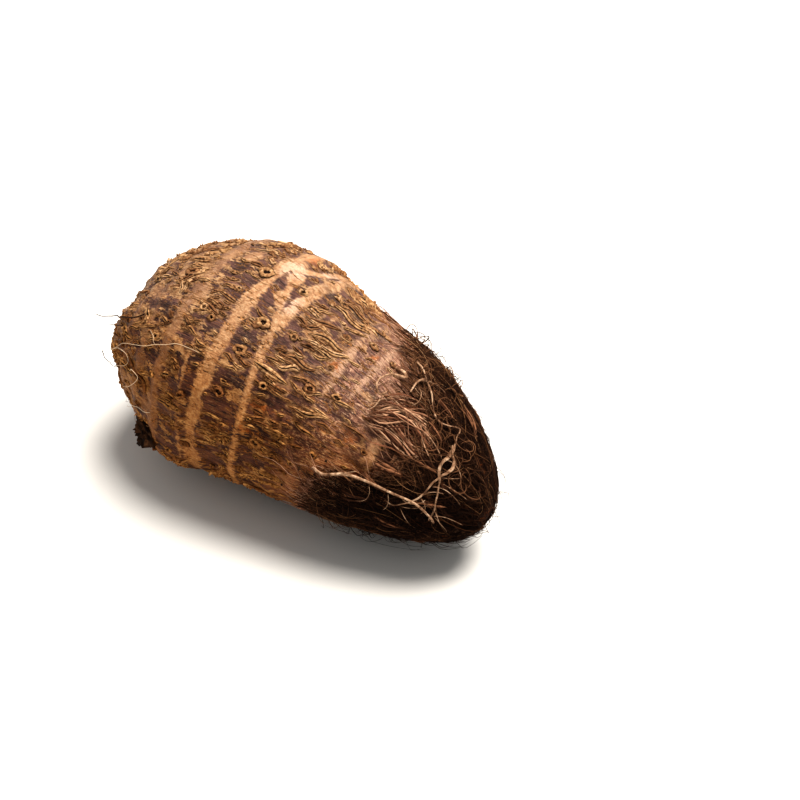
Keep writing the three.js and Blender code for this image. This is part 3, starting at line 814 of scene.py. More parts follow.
def split_ridges():
    """Place, length, half width and turn of each split ridge; they wander more on the base end."""
    main = np.array(MAIN_SPLITS, float).T
    s, theta = lip_places(LIP_COUNT)
    s, theta = np.append(main[0], s), np.append(np.radians(main[1]), theta)
    count = len(s)
    length = np.minimum(2.4 + RNG.gamma(1.6, 3.3, count), 22)
    length[:len(MAIN_SPLITS)] = main[2]
    width = (0.55 + 0.06 * length * RNG.uniform(0.4, 1.4, count)) * (1 - 0.3 * smooth(6, 24, s))
    flow = 0.35 * stretched_noise(s, theta, 34, 22, 14)
    yaw = flow + RNG.normal(0, 1, count) * (0.12 + 0.45 * smooth(-28, -58, s))
    yaw[:len(MAIN_SPLITS)] = np.radians(main[3])
    crossed = crosses_band(s, theta, length, yaw)
    length = np.where(crossed, length / 2, length)
    kept = ~crosses_band(s, theta, length, yaw)
    kept[:len(MAIN_SPLITS)] = True
    return s[kept], theta[kept], length[kept], width[kept], yaw[kept]


def crosses_band(s, theta, length, yaw):
    """Which of the splits would run over the smooth cork of a pale band."""
    deepest = np.full(len(s), -30.0)
    for share in (-0.5, -0.25, 0, 0.25, 0.5):
        place = np.clip(s + share * length * np.cos(yaw), -HALF + 1, HALF - 1)
        turned = theta + share * length * np.sin(yaw) / np.maximum(fair_radius(s), 6)
        deepest = np.maximum(deepest, pale_cover(place, turned))
    return deepest > 0.2


def split_closeness(s, theta, splits):
    """1 on a split ridge, falling to nothing over the cork beside it."""
    order = np.argsort(s, kind="stable")
    sorted_s = s[order]
    closeness = np.zeros(len(s))
    for at, angle, length, width, yaw in zip(*splits):
        first, last = np.searchsorted(sorted_s, (at - length / 2 - 3, at + length / 2 + 3))
        near = order[first:last]
        arc = np.angle(np.exp(1j * (theta[near] - angle))) * fair_radius(at)
        run = (s[near] - at) * math.cos(yaw) + arc * math.sin(yaw)
        aside = arc * math.cos(yaw) - (s[near] - at) * math.sin(yaw)
        past = np.maximum(np.abs(run) - length / 2, 0)
        away = np.hypot(past, aside) / (width * 1.0 + 0.45)
        closeness[near] = np.maximum(closeness[near], np.exp(-away * away))
    return closeness


LIP_RINGS = 11


def lip_form(share, turn, length, width):
    """Closed lenses whose top is two torn rims with a crack between: x along each, y across it and
    z up, in mm, and which of its points are on the rims and in the crack."""
    count = len(length)
    height = RNG.uniform(0.35, 1.1, (count, 1))
    bend = RNG.normal(0, 0.06, (count, 1)) * length
    phase = RNG.uniform(0, 6.3, (count, 1))
    belly = RNG.uniform(0.5, 1.3, (count, 1))
    spread = np.sin(math.pi * share ** belly) ** 0.8
    corner = np.rint(turn / (math.pi / 4)).astype(int) % 8
    rim = np.isin(corner, (1, 3))
    crack = corner == 2
    under = np.isin(corner, (5, 6, 7))
    top = np.where(rim, 1.0, np.where(crack, -0.15, np.where(under, -0.9, -0.3)))
    middle = crack | (corner == 6)
    edge = np.isin(corner, (0, 4))
    out = np.where(rim, 0.48, np.where(edge, 1.0, np.where(middle, 0.0, 0.5)))
    out = out * np.where(np.cos(turn) < 0, -1, 1)
    left_size, right_size = RNG.uniform(0.35, 1.2, (2, count, 1))
    side_size = np.where(corner < 2, left_size, right_size)
    torn = 1 + 0.42 * RNG.normal(0, 1, (count, len(turn))) * rim
    uneven = 1 + 0.4 * np.sin(phase + 11 * share) * np.where(corner == 1, 1, -0.6)
    wave = bend * np.sin(share * 5.0 + phase) * spread
    x = (0.5 - share) * length
    y = -(out * spread * width * (1 + 0.25 * (torn - 1))) + wave
    z = np.where(spread > 0.02, top * spread * height * side_size * uneven * torn, -0.4)
    return x, y, z, rim, crack


def make_lips(material, splits):
    """Split corky ridges, laid over the skin."""
    s, theta, length, width, yaw = splits
    count = len(s)
    template, ring, turn = ball_mesh(8, LIP_RINGS)
    mesh = repeated(template, count)
    x, y, z, rim, crack = lip_form(ring / LIP_RINGS, turn, length[:, None], width[:, None])
    along = x * np.cos(yaw)[:, None] - y * np.sin(yaw)[:, None]
    across = x * np.sin(yaw)[:, None] + y * np.cos(yaw)[:, None]
    place = np.clip(s[:, None] + along, -HALF + 1, HALF - 1)
    round_ = theta[:, None] + across / np.maximum(fair_radius(s), 6)[:, None]
    lift = skin_relief(place, round_) + 0.7 * fine_relief(place, round_) + z
    set_points(mesh, skin_points(place, round_, lift).reshape(-1, 3))
    keep_off_floor(mesh)
    tone = 0.2 + RNG.random((count, 1)) * 0.7 + 0.12 * RNG.normal(0, 1, (count, len(ring)))
    add_field(mesh, "tone", np.clip(tone, 0, 1).ravel())
    # Painted shadow: full in the crack between the rims, half on the lip's outer flanks and underside
    add_field(mesh, "crack", np.tile(np.where(crack, 1.0, np.where(rim, 0.0, 0.5)), count))
    # Painted shade: share for deepening the colour on the flanks
    add_field(mesh, "flank_shading", flank_shading_share(round_).ravel())
    return finish_piece(mesh, "corky_lips", material)


def keep_off_floor(mesh, least=0.0002):
    """Lifts what would touch the floor to `least` metres over it."""
    co = np.zeros(len(mesh.vertices) * 3, np.float32)
    mesh.vertices.foreach_get("co", co)
    co = co.reshape(-1, 3)
    co[:, 2] = np.maximum(co[:, 2], least)
    set_points(mesh, co)


# Section of a root scar, from the middle of its pit to under its rim: radius share, height in mm
CRATER_SECTION = (
    (0.0, -0.65), (0.24, -0.65), (0.40, -0.55), (0.56, 0.55), (0.76, 0.40), (1.02, -0.05),
    (1.12, -0.7), (0.6, -1.3), (0.0, -1.3),
)
CORE_RISE = 0.45  # of the root's torn core, in the scars that keep one
CORED_SHARE = 0.55
FULL_RIM_RADIUS = 1.7  # smaller scars have lower rims


def make_root_scars(material):
    """Root scars: low torn craters of cork round a dark hole."""
    section = np.array(CRATER_SECTION)
    extra = lip_places(EXTRA_SCARS)
    places = np.array(ROOT_SCARS)
    s = np.concatenate([places[:, 0], extra[0]])
    theta = np.concatenate([np.radians(places[:, 1]), extra[1]])
    radius = np.concatenate([places[:, 2], RNG.uniform(0.6, 1.1, len(extra[0]))])
    count = len(s)
    template, ring, turn = ball_mesh(20, len(section) - 1)
    mesh = repeated(template, count)
    circle = np.stack([np.cos(turn), np.sin(turn), ring * 0.5], -1)[None] * 1.7
    circle = circle + np.arange(count)[:, None, None] * 7.3
    torn = 1 + 0.42 * lattice_noise(circle, 41) + 0.08 * RNG.normal(0, 1, (count, len(ring)))
    reach = section[ring, 0] * radius[:, None] * np.where(section[ring, 0] > 0, torn, 1)
    long_way = RNG.uniform(1.05, 1.6, (count, 1))
    place = s[:, None] + long_way * reach * np.cos(turn)
    round_ = theta[:, None] - reach * np.sin(turn) / fair_radius(s)[:, None]
    gap = 1 + 0.9 * lattice_noise(circle * 0.8 + 40, 43)
    rise = section[ring, 1] * np.minimum(1, radius / FULL_RIM_RADIUS)[:, None]
    rise = np.where(section[ring, 1] > 0, rise * gap, rise)
    rough = 0.14 * RNG.normal(0, 1, (count, len(ring))) * (section[ring, 0] > 0)
    cored = (RNG.random((count, 1)) < CORED_SHARE) & (ring <= 1)
    rise = rise + CORE_RISE * cored * np.minimum(1, radius / FULL_RIM_RADIUS)[:, None]
    lift = skin_relief(place, round_) + rise + rough + 0.1 - 0.6 * SET_BACK
    set_points(mesh, skin_points(place, round_, lift).reshape(-1, 3))
    keep_off_floor(mesh)
    tone = RNG.uniform(0.25, 0.85, (count, 1)) + 0.4 * lattice_noise(circle * 1.7, 44)
    add_field(mesh, "tone", np.clip(tone, 0, 1).ravel())
    # Dark in the pit, partly painted shade, and half dark at the rim's outer foot and below as painted
    # shadow
    dark = np.where(ring <= 2, 0.82, np.where(ring >= 5, 0.5, 0.0)) + 0.3 * lattice_noise(circle * 2.3, 45)
    dark = np.where(cored, 0.55, dark)
    add_field(mesh, "crack", np.clip(dark, 0, 1).ravel())
    # Painted shade: share for deepening the colour on the flanks
    add_field(mesh, "flank_shading", flank_shading_share(round_).ravel())
    return finish_piece(mesh, "root_scar_rims", material)


STUB_AT = -51
STUB_DEGREES = 207


def make_stub(material):
    """The broken root stub on the low swelling of the base end: dark, torn and jagged."""
    template, ring, turn = ball_mesh(32, 24)
    mesh = repeated(template, 1)
    polar = ring / 24 * math.pi
    ball = np.stack([np.sin(polar) * np.cos(turn), np.sin(polar) * np.sin(turn), np.cos(polar)], -1)
    x, y, z = ball.T
    rough = 1 + 0.30 * lattice_noise(ball * 2.4, 4) + 0.26 * lattice_noise(ball * 5, 5)
    jagged = 1 + 0.6 * smooth(0.1, 0.8, z) * lattice_noise(ball * 8, 6)
    place = STUB_AT + 7.0 * x * rough
    round_ = math.radians(STUB_DEGREES) - 4.0 * y * rough / fair_radius(STUB_AT)
    foot = skin_relief(float(STUB_AT), math.radians(STUB_DEGREES)) - 0.4
    set_points(mesh, skin_points(place, round_, foot + 3.6 * z * rough * jagged))
    add_field(mesh, "tone", np.clip(0.05 + 0.25 * lattice_noise(ball * 4, 7), 0, 1))
    add_field(mesh, "crack", 0.62 + 0.3 * lattice_noise(ball * 5, 8))
    return finish_piece(mesh, "root_stub", material)


def walk(s, theta, step, heading, least):
    """Where steps over the skin lead, in mm along and radians round; `least` is the thinnest girth."""
    place = s + np.cumsum(step * np.cos(heading), axis=1)
    across = np.cumsum(step * np.sin(heading), axis=1)
    return place, theta + across / np.maximum(fair_radius(s), least)


def wriggle(line, size, seed):
    """Three noises along a line, with features of that size, to shift its points by."""
    s, theta = line[:, 0] * 3, line[:, 1] * 3
    return np.stack([stretched_noise(s, theta, size, size, seed + k) for k in range(3)], -1)


def make_roots(material):
    """Pale living roots, wiry and kinked, flattened to a ribbon for a stretch, with fine branches,
    that come out of the skin and over the crown."""
    lines = []
    for number, (start, end, ribbon, route) in enumerate(PALE_ROOTS):
        line = smooth_route(route, 12 * len(route) - 4)
        kinks = wriggle(line, 9, 30 + number)
        crooks = wriggle(line, 3.5, 50 + number)
        line = line + (kinks + 0.45 * crooks) * np.array([0.8, 0.02, 0.3]) + np.array([0, 0, 0.4])
        lines.append(line)
        share = np.linspace(0, 1, len(line))
        first, last = ribbon
        widen = 1 + 0.7 * smooth(first, first + 0.06, share) * smooth(last, last - 0.06, share)
        knots = 1 + 0.35 * kinks[:, 0] + 0.2 * kinks[:, 1] + 0.25 * crooks[:, 0]
        radii = ROOT_SLIMNESS * (start + (end - start) * share) * knots * widen
        paths = skin_points(line[:, 0], line[:, 1], line[:, 2])[None]
        facing = outward(line[:, 0], line[:, 1])[None]
        mesh = strands(paths, radii[None], 10, facing, (0.85 / widen**1.5)[None])
        finish_piece(mesh, f"pale_root_{number + 1}", material)
    make_branches(lines, material)


def make_branches(lines, material):
    """Fine rootlets that leave the pale roots and bend away over the crown."""
    points = 12
    share = np.linspace(0, 1, points)[None]
    starts = np.concatenate([line[RNG.integers(len(line) // 3, len(line) - 3, ROOTLETS_EACH)]
                             for line in lines])
    count = len(starts)
    length = RNG.uniform(5, 13, (count, 1))
    heading = RNG.uniform(-1.2, 1.2, (count, 1)) + RNG.normal(0, 1.2, (count, 1)) * share
    step = length / (points - 1)
    place, round_ = walk(starts[:, :1], starts[:, 1:2], step, heading, 8)
    place = np.minimum(place, HALF - 1)
    lift = starts[:, 2:3] + 0.7 * np.sin(share * 3.0) - 0.6 * share
    radii = RNG.uniform(0.13, 0.24, (count, 1)) * np.linspace(1, 0.5, points)[None]
    mesh = strands(skin_points(place, round_, lift), radii, 5, outward(place, round_))
    finish_piece(mesh, "root_branches", material)


def make_fuzz(material):
    """Short fine hairs here and there over the bare skin."""
    count = FIBRE_COUNTS["fuzz"]
    points = 9
    share = np.linspace(0, 1, points)[None]
    s = RNG.uniform(-80, 40, count)
    theta = RNG.uniform(0, 2 * math.pi, count)
    heading = RNG.uniform(0, 6.3, (count, 1)) + RNG.normal(0, 1.6, (count, 1)) * share
    step = RNG.uniform(2.5, 8, (count, 1)) / (points - 1)
    place, round_ = walk(s[:, None], theta[:, None], step, heading, 8)
    place = np.clip(place, -HALF + 1, HALF - 1)
    lift = skin_relief(place, round_) + 0.3 + RNG.uniform(0.6, 2.2, (count, 1)) * np.sin(share * 2.6)
    radii = RNG.uniform(0.06, 0.11, (count, 1)) * np.linspace(1, 0.5, points)[None]
    mesh = strands(skin_points(place, round_, lift), radii, 3, outward(place, round_))
    keep_off_floor(mesh)
    finish_piece(mesh, "skin_fuzz", material)


def make_hairs(materials):
    """The few long hair roots on the base end, in the pale material (first) or the dark one."""
    for number, (radius, shade, route) in enumerate(BASE_HAIRS):
        line = smooth_route(route, 8 * len(route))
        under = np.pad(skin_lift(line[:, 0], line[:, 1]), 3, "edge")
        cover = np.convolve(under, np.full(7, 1 / 7), "valid")
        paths = skin_points(line[:, 0], line[:, 1], line[:, 2] + cover + 0.35)[None]
        radii = np.full((1, len(line)), radius) * np.linspace(1.1, 0.6, len(line))
        tones = np.array([0.35 if shade else 0.85])
        mesh = strands(paths, radii, 5, np.broadcast_to(SIDE + UPWARD, paths.shape), tones=tones)
        finish_piece(mesh, f"base_hair_{number + 1}", materials[shade])


MAT_AROUND = 300
MAT_OUTER = 110
MAT_INNER = 24


def mat_start(theta):
    ragged = 1.6 * np.sin(7 * theta) + 1.2 * np.sin(13 * theta + 1)
    return mat_edge(theta) + ragged


def mat_lift(share, s, theta):
    """Outer height of the mat over the fair body, matted in lengthwise clumps."""
    fade = np.minimum(1, fair_radius(s) / MAT_FADE_RADIUS)
    grooves = 0.4 * np.sin(11 * theta + 1.4 * np.sin(s / 9)) + 0.25 * np.sin(s / 3.5 + 3 * theta)
    clumps = 0.55 * stretched_noise(s, theta, 11, 2.6, 11) + 0.35 * stretched_noise(s, theta, 5, 1.2, 12)
    proud = 0.2 + (MAT_PROUD - 0.2) * smooth(0, 0.25, share)
    return proud + fade * (grooves + clumps) * smooth(0, 0.15, share)


def make_mat(material):
    """The matted body of the crown: a closed cap with a ragged edge."""
    bm = bmesh.new()
    rows = MAT_OUTER + MAT_INNER
    bmesh.ops.create_grid(bm, x_segments=MAT_AROUND, y_segments=rows, size=1.0)
    mesh = bpy.data.meshes.new("mat")
    bm.to_mesh(mesh)
    flat = np.array([v.co for v in mesh.vertices], float)
    theta = -flat[:, 0] * math.pi - math.pi / 2
    row = np.rint((1 - flat[:, 1]) / 2 * rows)
    outer = row <= MAT_OUTER
    share = np.where(outer, 1 - row / MAT_OUTER, (row - MAT_OUTER) / MAT_INNER)
    share = np.sin(share * math.pi / 2)
    s = mat_start(theta) + share * (HALF - mat_start(theta))
    outside = mat_lift(share, s, theta)
    inside = skin_relief(s, theta) + 0.35
    set_points(mesh, skin_points(s, theta, np.where(outer, np.maximum(outside, inside + 0.3), inside)))
    add_field(mesh, "growth", pattern_place(s, theta))
    add_field(mesh, "inset", s - mat_start(theta))
    bm.clear()
    bm.from_mesh(mesh)
    bmesh.ops.remove_doubles(bm, verts=bm.verts, dist=1e-6)
    bm.to_mesh(mesh)
    bm.free()
    keep_off_floor(mesh, 0.0007)
    return finish_piece(mesh, "crown_mat", material, "crown_fibres")


def mat_material():
    """Matted leaf-sheath bast: papery red-brown at its edge, then near-black brown felt of crossing
    fibres, darkened towards the tip partly as painted shadow, dull, with rusty threads."""
    made, tree, shader = new_material("matted_sheath_bast", 0.85, 0.06)
    inset = node(tree, "Attribute", output="Fac", attribute_name="inset")
    sizes = ((14, 0.5), (1.1, 7), (9, 3))
    lengthwise, crosswise, patchy = [
        growth_grain(tree, along_mm, across_mm, 3.0, 0.5) for along_mm, across_mm in sizes]
    crossed = node(tree, "Math", (lengthwise, crosswise), **LARGER)
    felt = node(tree, "ValToRGB", (crossed,), stops=(
        (0.42, "#120602"), (0.56, "#2a1206"), (0.66, "#4a260f"), (0.80, "#7d4a22")))
    papery = node(tree, "ValToRGB", (lengthwise,), stops=(
        (0.32, "#4a2413"), (0.44, "#8c5639"), (0.53, "#b67f5d"), (0.68, "#dcae8b")))
    drift = node(tree, "Math", (patchy, 26.0, inset), operation="MULTIPLY_ADD")
    # Share of the dark felt, growing away from the edge: partly painted shadow towards the tip
    deep = node(tree, "MapRange", (drift, 19.0, 38.0))
    colour = node(tree, "Mix", {0: deep, 6: papery, 7: felt}, **BLENDED)
    tree.links.new(colour, shader.inputs["Base Color"])
    bump = node(tree, "Bump", {"Height": crossed, "Strength": 0.8, "Distance": 0.001})
    tree.links.new(bump, shader.inputs["Normal"])
    return made


def crown_places(count, margin):
    """Seeded places over the mat, as dense near the edge as near the tip."""
    theta = RNG.uniform(0, 2 * math.pi, count * 3)
    edge = mat_edge(theta)
    s = edge + margin + RNG.random(count * 3) * (HALF - 2 - edge - margin)
    kept = RNG.uniform(0, 44, count * 3) < fair_radius(s) + 6
    return s[kept][:count], theta[kept][:count]


def fibre_paths(s, theta, length, heading, lift, curl, points):
    """Paths over the skin: heading 0 runs along the root, curl bends them, lift is (count, points)."""
    count = len(s)
    step = np.linspace(-0.5, 0.5, points)[None] * length[:, None]
    angle = heading[:, None] + curl[:, None] * np.linspace(-0.5, 0.5, points)[None]
    gap = np.diff(step, axis=1, prepend=step[:, :1])
    along = np.cumsum(gap * np.cos(angle), axis=1)
    across = np.cumsum(gap * np.sin(angle), axis=1)
    along -= along.mean(1, keepdims=True)
    across -= across.mean(1, keepdims=True)
    place = np.minimum(s[:, None] + along, HALF - 0.5 - RNG.random((count, 1)) * 1.5)
    girth = np.maximum(fair_radius(place), 5)
    round_ = theta[:, None] + across / girth
    return place, round_, skin_points(place, round_, lift)


def veils_film(place, round_):
    """Which fibres would cover the smooth film beside the mat; a few of them are let through."""
    over = (place < mat_edge(round_) - 1) & (smooth_film(place, round_) > 0.5)
    return (over.mean(axis=1) > 0.12) & (RNG.random(len(place)) < 0.92)


def shaded_crown_tones(s, theta):
    """Tones of crown fibres: lighter near the mat's edge and darker away from it towards the tip, partly
    painted shadow, and lighter on top as painted light.
    """
    inset = s - mat_edge(theta)
    tone = 0.7 * RNG.random(len(s)) + 0.42 * (1 - smooth(1, 15, inset))
    # Painted light: the fibres on top are lighter
    tone = tone + 0.15 * smooth(0.1, 0.9, np.sin(theta))
    return np.clip(tone - 0.2, 0, 1)


def make_curls(material):
    """Curled wiry fibres that stand up in loops on the top and far side of the crown."""
    count = FIBRE_COUNTS["curl"]
    points = 18
    share = np.linspace(0, 1, points)[None]
    theta = np.radians(RNG.uniform(5, 125, count))
    s = mat_edge(theta) + RNG.uniform(-2, 30, count)
    size = RNG.uniform(1.5, 4.5, (count, 1))
    swing = RNG.uniform(0, 6.3, (count, 1)) + RNG.uniform(2.5, 5.5, (count, 1)) * share
    place = np.minimum(s[:, None] + size * np.cos(swing), HALF - 1)
    round_ = theta[:, None] + size * np.sin(swing) / np.maximum(fair_radius(s), 10)[:, None]
    lift = 1.0 + RNG.uniform(1.0, 6.0, (count, 1)) * np.sin(share * 3.1)
    radii = RNG.uniform(0.13, 0.28, (count, 1)) * np.linspace(1.0, 0.6, points)[None]
    mesh = strands(skin_points(place, round_, lift), radii, 4, outward(place, round_),
                   tones=RNG.uniform(0.4, 1.0, count))
    return finish_piece(mesh, "crown_curls", material)


def make_crown_fibres(material, pale_material):
    """Loose fibres of the crown, lighter near its edge and, as painted light, on top: combed, and swirled.
    """
    def bundle(name, count, margin, length, heading, curl, low, rise, thickness, points, finish):
        """One piece of loose fibres; lengths, heights and radii are in mm."""
        s, theta = crown_places(count, margin)
        count = len(s)
        clump = stretched_noise(s, theta, 18, 12, 21)
        turned = heading(count) + clump * 0.7
        arch = np.sin(np.linspace(0, math.pi, points))[None]
        lift = low + RNG.normal(0, 0.25, (count, 1)) + rise(count)[:, None] * arch
        lift = lift + 0.8 * np.minimum(1, fair_radius(s) / MAT_FADE_RADIUS)[:, None]
        place, round_, paths = fibre_paths(s, theta, RNG.uniform(*length, count), turned,
                                           lift, RNG.normal(0, curl, count), points)
        radii = RNG.uniform(*thickness, (count, 1)) * np.linspace(1.0, 0.5, points)[None]
        shown = ~veils_film(place, round_)
        mesh = strands(paths[shown], radii[shown], 3, outward(place, round_)[shown],
                       tones=shaded_crown_tones(s, theta)[shown])
        keep_off_floor(mesh, 0.0004)
        finish_piece(mesh, name, finish)

    bundle("crown_combed_fibres", FIBRE_COUNTS["lengthwise"], -3, (9, 26), lambda n: RNG.normal(0, 0.28, n),
           0.9, 0.3, lambda n: RNG.uniform(0, 0.8, n), (0.10, 0.30), 8, material)
    bundle("crown_swirled_fibres", FIBRE_COUNTS["swirled"], 1, (8, 22), lambda n: RNG.normal(0, 0.8, n),
           1.5, 0.4, lambda n: RNG.uniform(0.2, 1.4, n), (0.08, 0.22), 9, material)
    bundle("crown_pale_fibres", FIBRE_COUNTS["pale"], 0, (8, 26), lambda n: RNG.normal(0, 0.5, n),
           1.2, 0.6, lambda n: RNG.uniform(0.2, 1.2, n), (0.08, 0.20), 10, pale_material)


def make_fringe(material):
    """Fibres that run out of the mat's edge onto the skin and cling to it."""
    count = FIBRE_COUNTS["fringe"]
    points = 8
    theta = RNG.uniform(0, 2 * math.pi, count)
    start = mat_edge(theta) + RNG.uniform(-2, 7, count)
    reach = RNG.gamma(2.0, 3.0, count) + 2.5
    share = np.linspace(0, 1, points)[None]
    place = start[:, None] - reach[:, None] * share
    drift = RNG.normal(0, 0.22, count)[:, None] * share
    drift = drift + RNG.normal(0, 0.05, (count, 1)) * np.sin(share * 6)
    round_ = theta[:, None] + drift * reach[:, None] / 14
    cling = np.maximum(skin_relief(place, round_), 0) + 0.35
    lift = np.where(share < 0.35, 1.0, cling) + RNG.uniform(0, 0.9, (count, 1)) * np.sin(share * 3.1)
    radii = RNG.uniform(0.07, 0.2, (count, 1)) * np.linspace(1.0, 0.4, points)[None]
    shown = ~veils_film(place, round_)
    place, round_, lift = place[shown], round_[shown], lift[shown]
    mesh = strands(skin_points(place, round_, lift), radii[shown], 3, outward(place, round_),
                   tones=RNG.uniform(0.2, 1.0, len(place)))
    keep_off_floor(mesh, 0.0004)
    return finish_piece(mesh, "crown_fringe", material)


def make_strays(material):
    """Hairs that stand off the crown and off its tip, most of them bent over."""
    count = FIBRE_COUNTS["stray"]
    points = 9
    s, theta = crown_places(count, 1)
    share = np.linspace(0, 1, points)[None]
    length = RNG.gamma(2.2, 2.4, len(s)) + 2
    rise = RNG.uniform(0.1, 0.6, len(s))
    heading = RNG.normal(0, 0.9, (len(s), 1)) + RNG.normal(0, 1.1, (len(s), 1)) * share
    step = (length / (points - 1))[:, None]
    place, round_ = walk(s[:, None], theta[:, None], step, heading, 6)
    place = np.minimum(place, HALF - 0.6)
    lift = 0.8 + (length * rise)[:, None] * np.sin(share * 2.2)
    lift = np.minimum(lift, 6.5)
    radii = RNG.uniform(0.07, 0.18, (len(s), 1)) * np.linspace(1.0, 0.4, points)[None]
    facing = np.broadcast_to(SIDE + 0.3 * UPWARD, (len(s), points, 3))
    # Tones with the crown's painted light and shade, a little lighter
    tones = np.clip(shaded_crown_tones(s, theta) + 0.15, 0, 1)
    mesh = strands(skin_points(place, round_, lift), radii, 3, facing, tones=tones)
    keep_off_floor(mesh, 0.0003)
    return finish_piece(mesh, "crown_strays", material)


# Torn leaf sheaths: mm along, degrees round, length, half width, heading in degrees
SCALES = (
    (66, 127, 15, 2.2, -6), (55, 146, 14, 2.0, -8), (52, 158, 13, 1.8, 15), (62, 100, 14, 1.6, 10),
    (74, 130, 13, 2.0, 20), (72, 156, 13, 2.0, -15), (57, 80, 13, 1.8, 0), (66, 60, 14, 2.0, 10),
    (46, 176, 13, 2.0, -8), (60, 190, 15, 2.2, 12), (70, 220, 14, 2.2, 0), (58, 250, 14, 2.2, 10),
    (64, 290, 14, 2.0, -10), (50, 330, 14, 2.2, 5), (60, 20, 15, 2.0, 0),
)

# The large flap: the line of each of its folds, its height in mm and its number of ribbons
FLAP_LIPS = (
    (((42, 119), (46, 112), (51, 105), (57, 99), (62, 96)), 2.0, 26),
    (((43, 121), (50, 114), (57, 111), (63, 113), (69, 118)), 3.2, 34),
    (((43, 124), (50, 120), (57, 122), (63, 124), (69, 122)), 1.8, 30),
    (((42, 127), (49, 126), (56, 129), (62, 130), (68, 126)), 1.2, 24),
)


def ribbon_sheaf(s, degrees, length, half, heading, count):
    """Routes of the narrow ribbons that one torn sheath has split into: (count, points, 3)."""
    points = 12
    share = np.linspace(0, 1, points)[None]
    side = np.linspace(-1, 1, count)[:, None] + RNG.normal(0, 0.12, (count, 1))
    reach = length * RNG.uniform(0.6, 1.1, (count, 1))
    spread = half * (1 - 0.75 * share) * (1 + 0.25 * RNG.normal(0, 1, (count, 1)))
    x = (share - 0.3) * reach
    y = side * spread + RNG.normal(0, 0.35, (count, 1)) * np.sin(share * 4)
    angle = math.radians(heading)
    place = np.minimum(s + x * math.cos(angle) - y * math.sin(angle), HALF - 1)
    across = x * math.sin(angle) + y * math.cos(angle)
    round_ = math.radians(degrees) + across / max(float(fair_radius(s)), 8)
    lift = 1.2 + RNG.uniform(0.3, 1.6, (count, 1)) * np.sin(share * 2.6) + 0.3 * np.abs(side)
    return np.stack([place, round_, lift], -1)


def ribbons(routes, width, name, material):
    """Thin papery ribbons, ragged along both edges."""
    count, points = routes.shape[:2]
    ragged = 1 + 0.3 * RNG.normal(0, 1, (count, points))
    taper = np.sin(np.linspace(0.35, 2.9, points))[None] ** 0.7
    radii = RNG.uniform(*width, (count, 1)) * taper * np.clip(ragged, 0.4, 1.6)
    place, round_, lift = routes[..., 0], routes[..., 1], routes[..., 2]
    tilt = outward(place, round_) + 0.5 * RNG.normal(0, 1, (count, 1, 3))
    mesh = strands(skin_points(place, round_, lift), radii, 6, unit(tilt), 0.22)
    keep_off_floor(mesh, 0.0004)
    return finish_piece(mesh, name, material)


def make_scales(material):
    """Torn remains of leaf sheaths, split into narrow papery ribbons."""
    sheaves = [ribbon_sheaf(*scale, RIBBONS_EACH) for scale in SCALES]
    return ribbons(np.concatenate(sheaves), (0.25, 0.6), "sheath_ribbons", material)


def make_flap(material):
    """The large flap of reddish sheath at the mat's edge, that arches up and gapes like a lip."""
    points = 14
    share = np.linspace(0, 1, points)
    routes = []
    for line, height, count in FLAP_LIPS:
        knots = smooth_route([(s, degrees, 0) for s, degrees in line], points)
        for _ in range(count):
            aside = RNG.normal(0, 1.6)
            place = knots[:, 0] + RNG.normal(0, 2.0) + RNG.uniform(-4, 4) * share
            wander = RNG.normal(0, 0.05) * np.sin(share * RNG.uniform(3, 8))
            round_ = knots[:, 1] + aside * (0.6 + 0.8 * abs(share - 0.5)) / 30 + wander
            lift = 0.8 + height * RNG.uniform(0.3, 1.1) * np.sin(share * math.pi) ** 0.8
            routes.append(np.stack([place, round_, np.maximum(lift, 0.4)], -1))
    return ribbons(np.array(routes), (0.1, 0.42), "sheath_flap", material)


def make_crumbs(material):
    """Crumbs of dry soil caught low in the crown's fibres."""
    sides, rings = 8, 6
    s, theta = crown_places(CRUMB_COUNT, -4)
    theta = np.radians(RNG.normal(235, 38, len(s)))
    template, ring, turn = ball_mesh(sides, rings)
    mesh = repeated(template, len(s))
    polar = ring / rings * math.pi
    form = np.stack([np.sin(polar) * np.cos(turn), -np.sin(polar) * np.sin(turn), np.cos(polar)], -1)
    size = np.minimum(RNG.gamma(2.0, 0.2, len(s)), 0.7)[:, None, None]
    size = size * RNG.uniform(0.6, 1.3, (len(s), 1, 3))
    form = form[None] * size * RNG.uniform(0.75, 1.25, (len(s), len(ring), 1))
    place = np.minimum(s[:, None] + form[..., 0], HALF - 0.5)
    round_ = theta[:, None] + form[..., 1] / np.maximum(fair_radius(s), 6)[:, None]
    set_points(mesh, skin_points(place, round_, 1.4 + form[..., 2]).reshape(-1, 3))
    keep_off_floor(mesh, 0.0003)
    return finish_piece(mesh, "soil_crumbs", material)


CAMERA_AT = Vector((0.44927, -0.56674, 0.65980))
CAMERA_AZIMUTH = math.radians(35.699)
CAMERA_ELEVATION = math.radians(40.468)
LENS_MM = 101.79
SENSOR_MM = 36.0
FLOOR_HALF_WIDTH = 4.0  # metres
SKY_STRENGTH = 0.52
KEY_STRENGTH = 6.5


def make_camera():
    data = bpy.data.cameras.new("camera")
    data.lens = LENS_MM
    data.sensor_width = SENSOR_MM
    camera = bpy.data.objects.new("camera", data)
    camera.location = CAMERA_AT
    camera.rotation_euler = (math.pi / 2 - CAMERA_ELEVATION, 0, CAMERA_AZIMUTH)
    bpy.context.scene.collection.objects.link(camera)
    bpy.context.scene.camera = camera


def sun_light(name, towards, strength, softness, tint):
    data = bpy.data.lights.new(name, "SUN")
    data.energy = strength
    data.angle = softness
    data.color = linear(tint)[:3]
    lamp = bpy.data.objects.new(name, data)
    lamp.rotation_euler = Vector(towards).to_track_quat("Z", "Y").to_euler()
    bpy.context.scene.collection.objects.link(lamp)


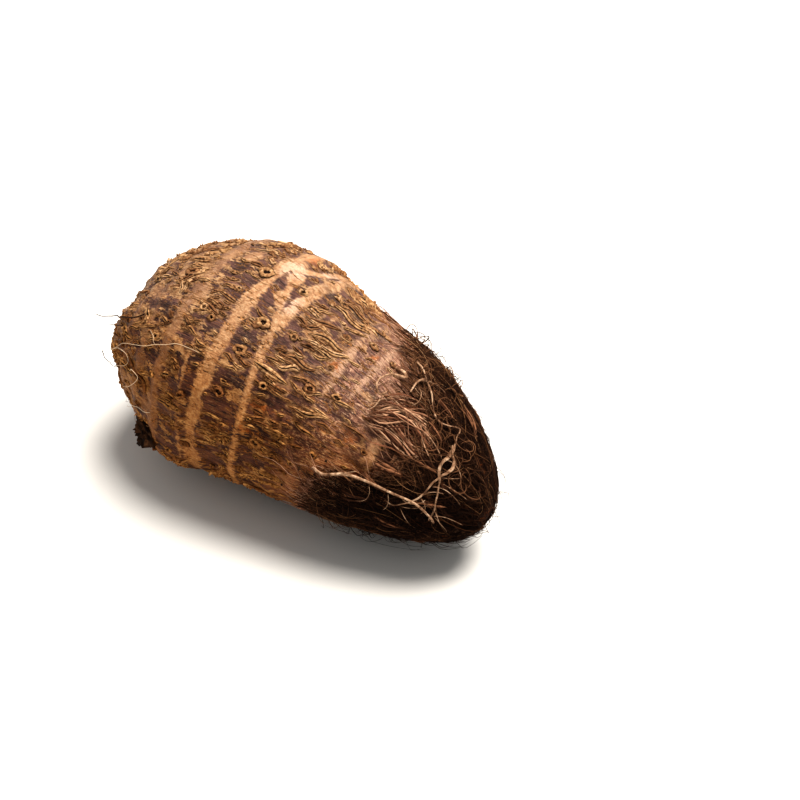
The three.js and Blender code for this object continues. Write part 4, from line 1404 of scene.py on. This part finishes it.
def make_floor():
    bm = bmesh.new()
    bmesh.ops.create_grid(bm, x_segments=1, y_segments=1, size=FLOOR_HALF_WIDTH)
    mesh = bpy.data.meshes.new("floor")
    bm.to_mesh(mesh)
    bm.free()
    floor = bpy.data.objects.new("floor", mesh)
    bpy.context.scene.collection.objects.link(floor)
    made, _tree, shader = new_material("white_paper_sweep", 0.9, 0.1)
    shader.inputs["Base Color"].default_value = linear("#cdcbc8")
    mesh.materials.append(made)


def make_studio():
    """White sweep under a pale sky and one broad soft key light from over the far side."""
    make_floor()
    world = bpy.data.worlds.new("studio")
    bpy.context.scene.world = world
    world.use_nodes = True
    background = world.node_tree.nodes["Background"]
    background.inputs["Color"].default_value = linear("#fbfaf8")
    background.inputs["Strength"].default_value = SKY_STRENGTH
    sun_light("key", (0.14, 0.27, 0.9), KEY_STRENGTH, math.radians(34), "#fffaf3")
    bpy.context.scene.view_settings.view_transform = "Standard"
    bpy.context.scene.view_settings.look = "Medium High Contrast"


def main():
    make_camera()
    cork = cork_material()
    # The dark and middle stops of this fibre are partly painted shade, darker than its own brown
    bast = fibre_material("dried_sheath_fibre", "#160a05", "#3c2314", "#865e41", 0.8)
    pale_fibre = fibre_material("pale_dry_fibre", "#4e301b", "#8a6544", "#bb9670", 0.7)
    fringe = fibre_material("papery_bast_fibre", "#4a2a1f", "#946549", "#d4a78a", 0.75)
    root_skin = root_material()
    hair_root = fibre_material("cream_hair_root", "#8a6a4e", "#b99a7c", "#dcc3a4", 0.7)
    sheath = fibre_material("papery_sheath", "#26130a", "#54331f", "#98694b", 0.75)
    flap = fibre_material("red_papery_sheath", "#321a0f", "#7c5039", "#c49a7a", 0.75)
    soil = soil_material()
    splits = split_ridges()
    make_skin(skin_material(), splits)
    make_lips(cork, splits)
    make_root_scars(cork)
    make_stub(cork)
    make_roots(root_skin)
    make_hairs((hair_root, bast))
    make_fuzz(pale_fibre)
    make_mat(mat_material())
    make_crown_fibres(bast, pale_fibre)
    make_fringe(fringe)
    make_strays(bast)
    make_curls(bast)
    make_scales(sheath)
    make_flap(flap)
    make_crumbs(soil)
    make_studio()


main()
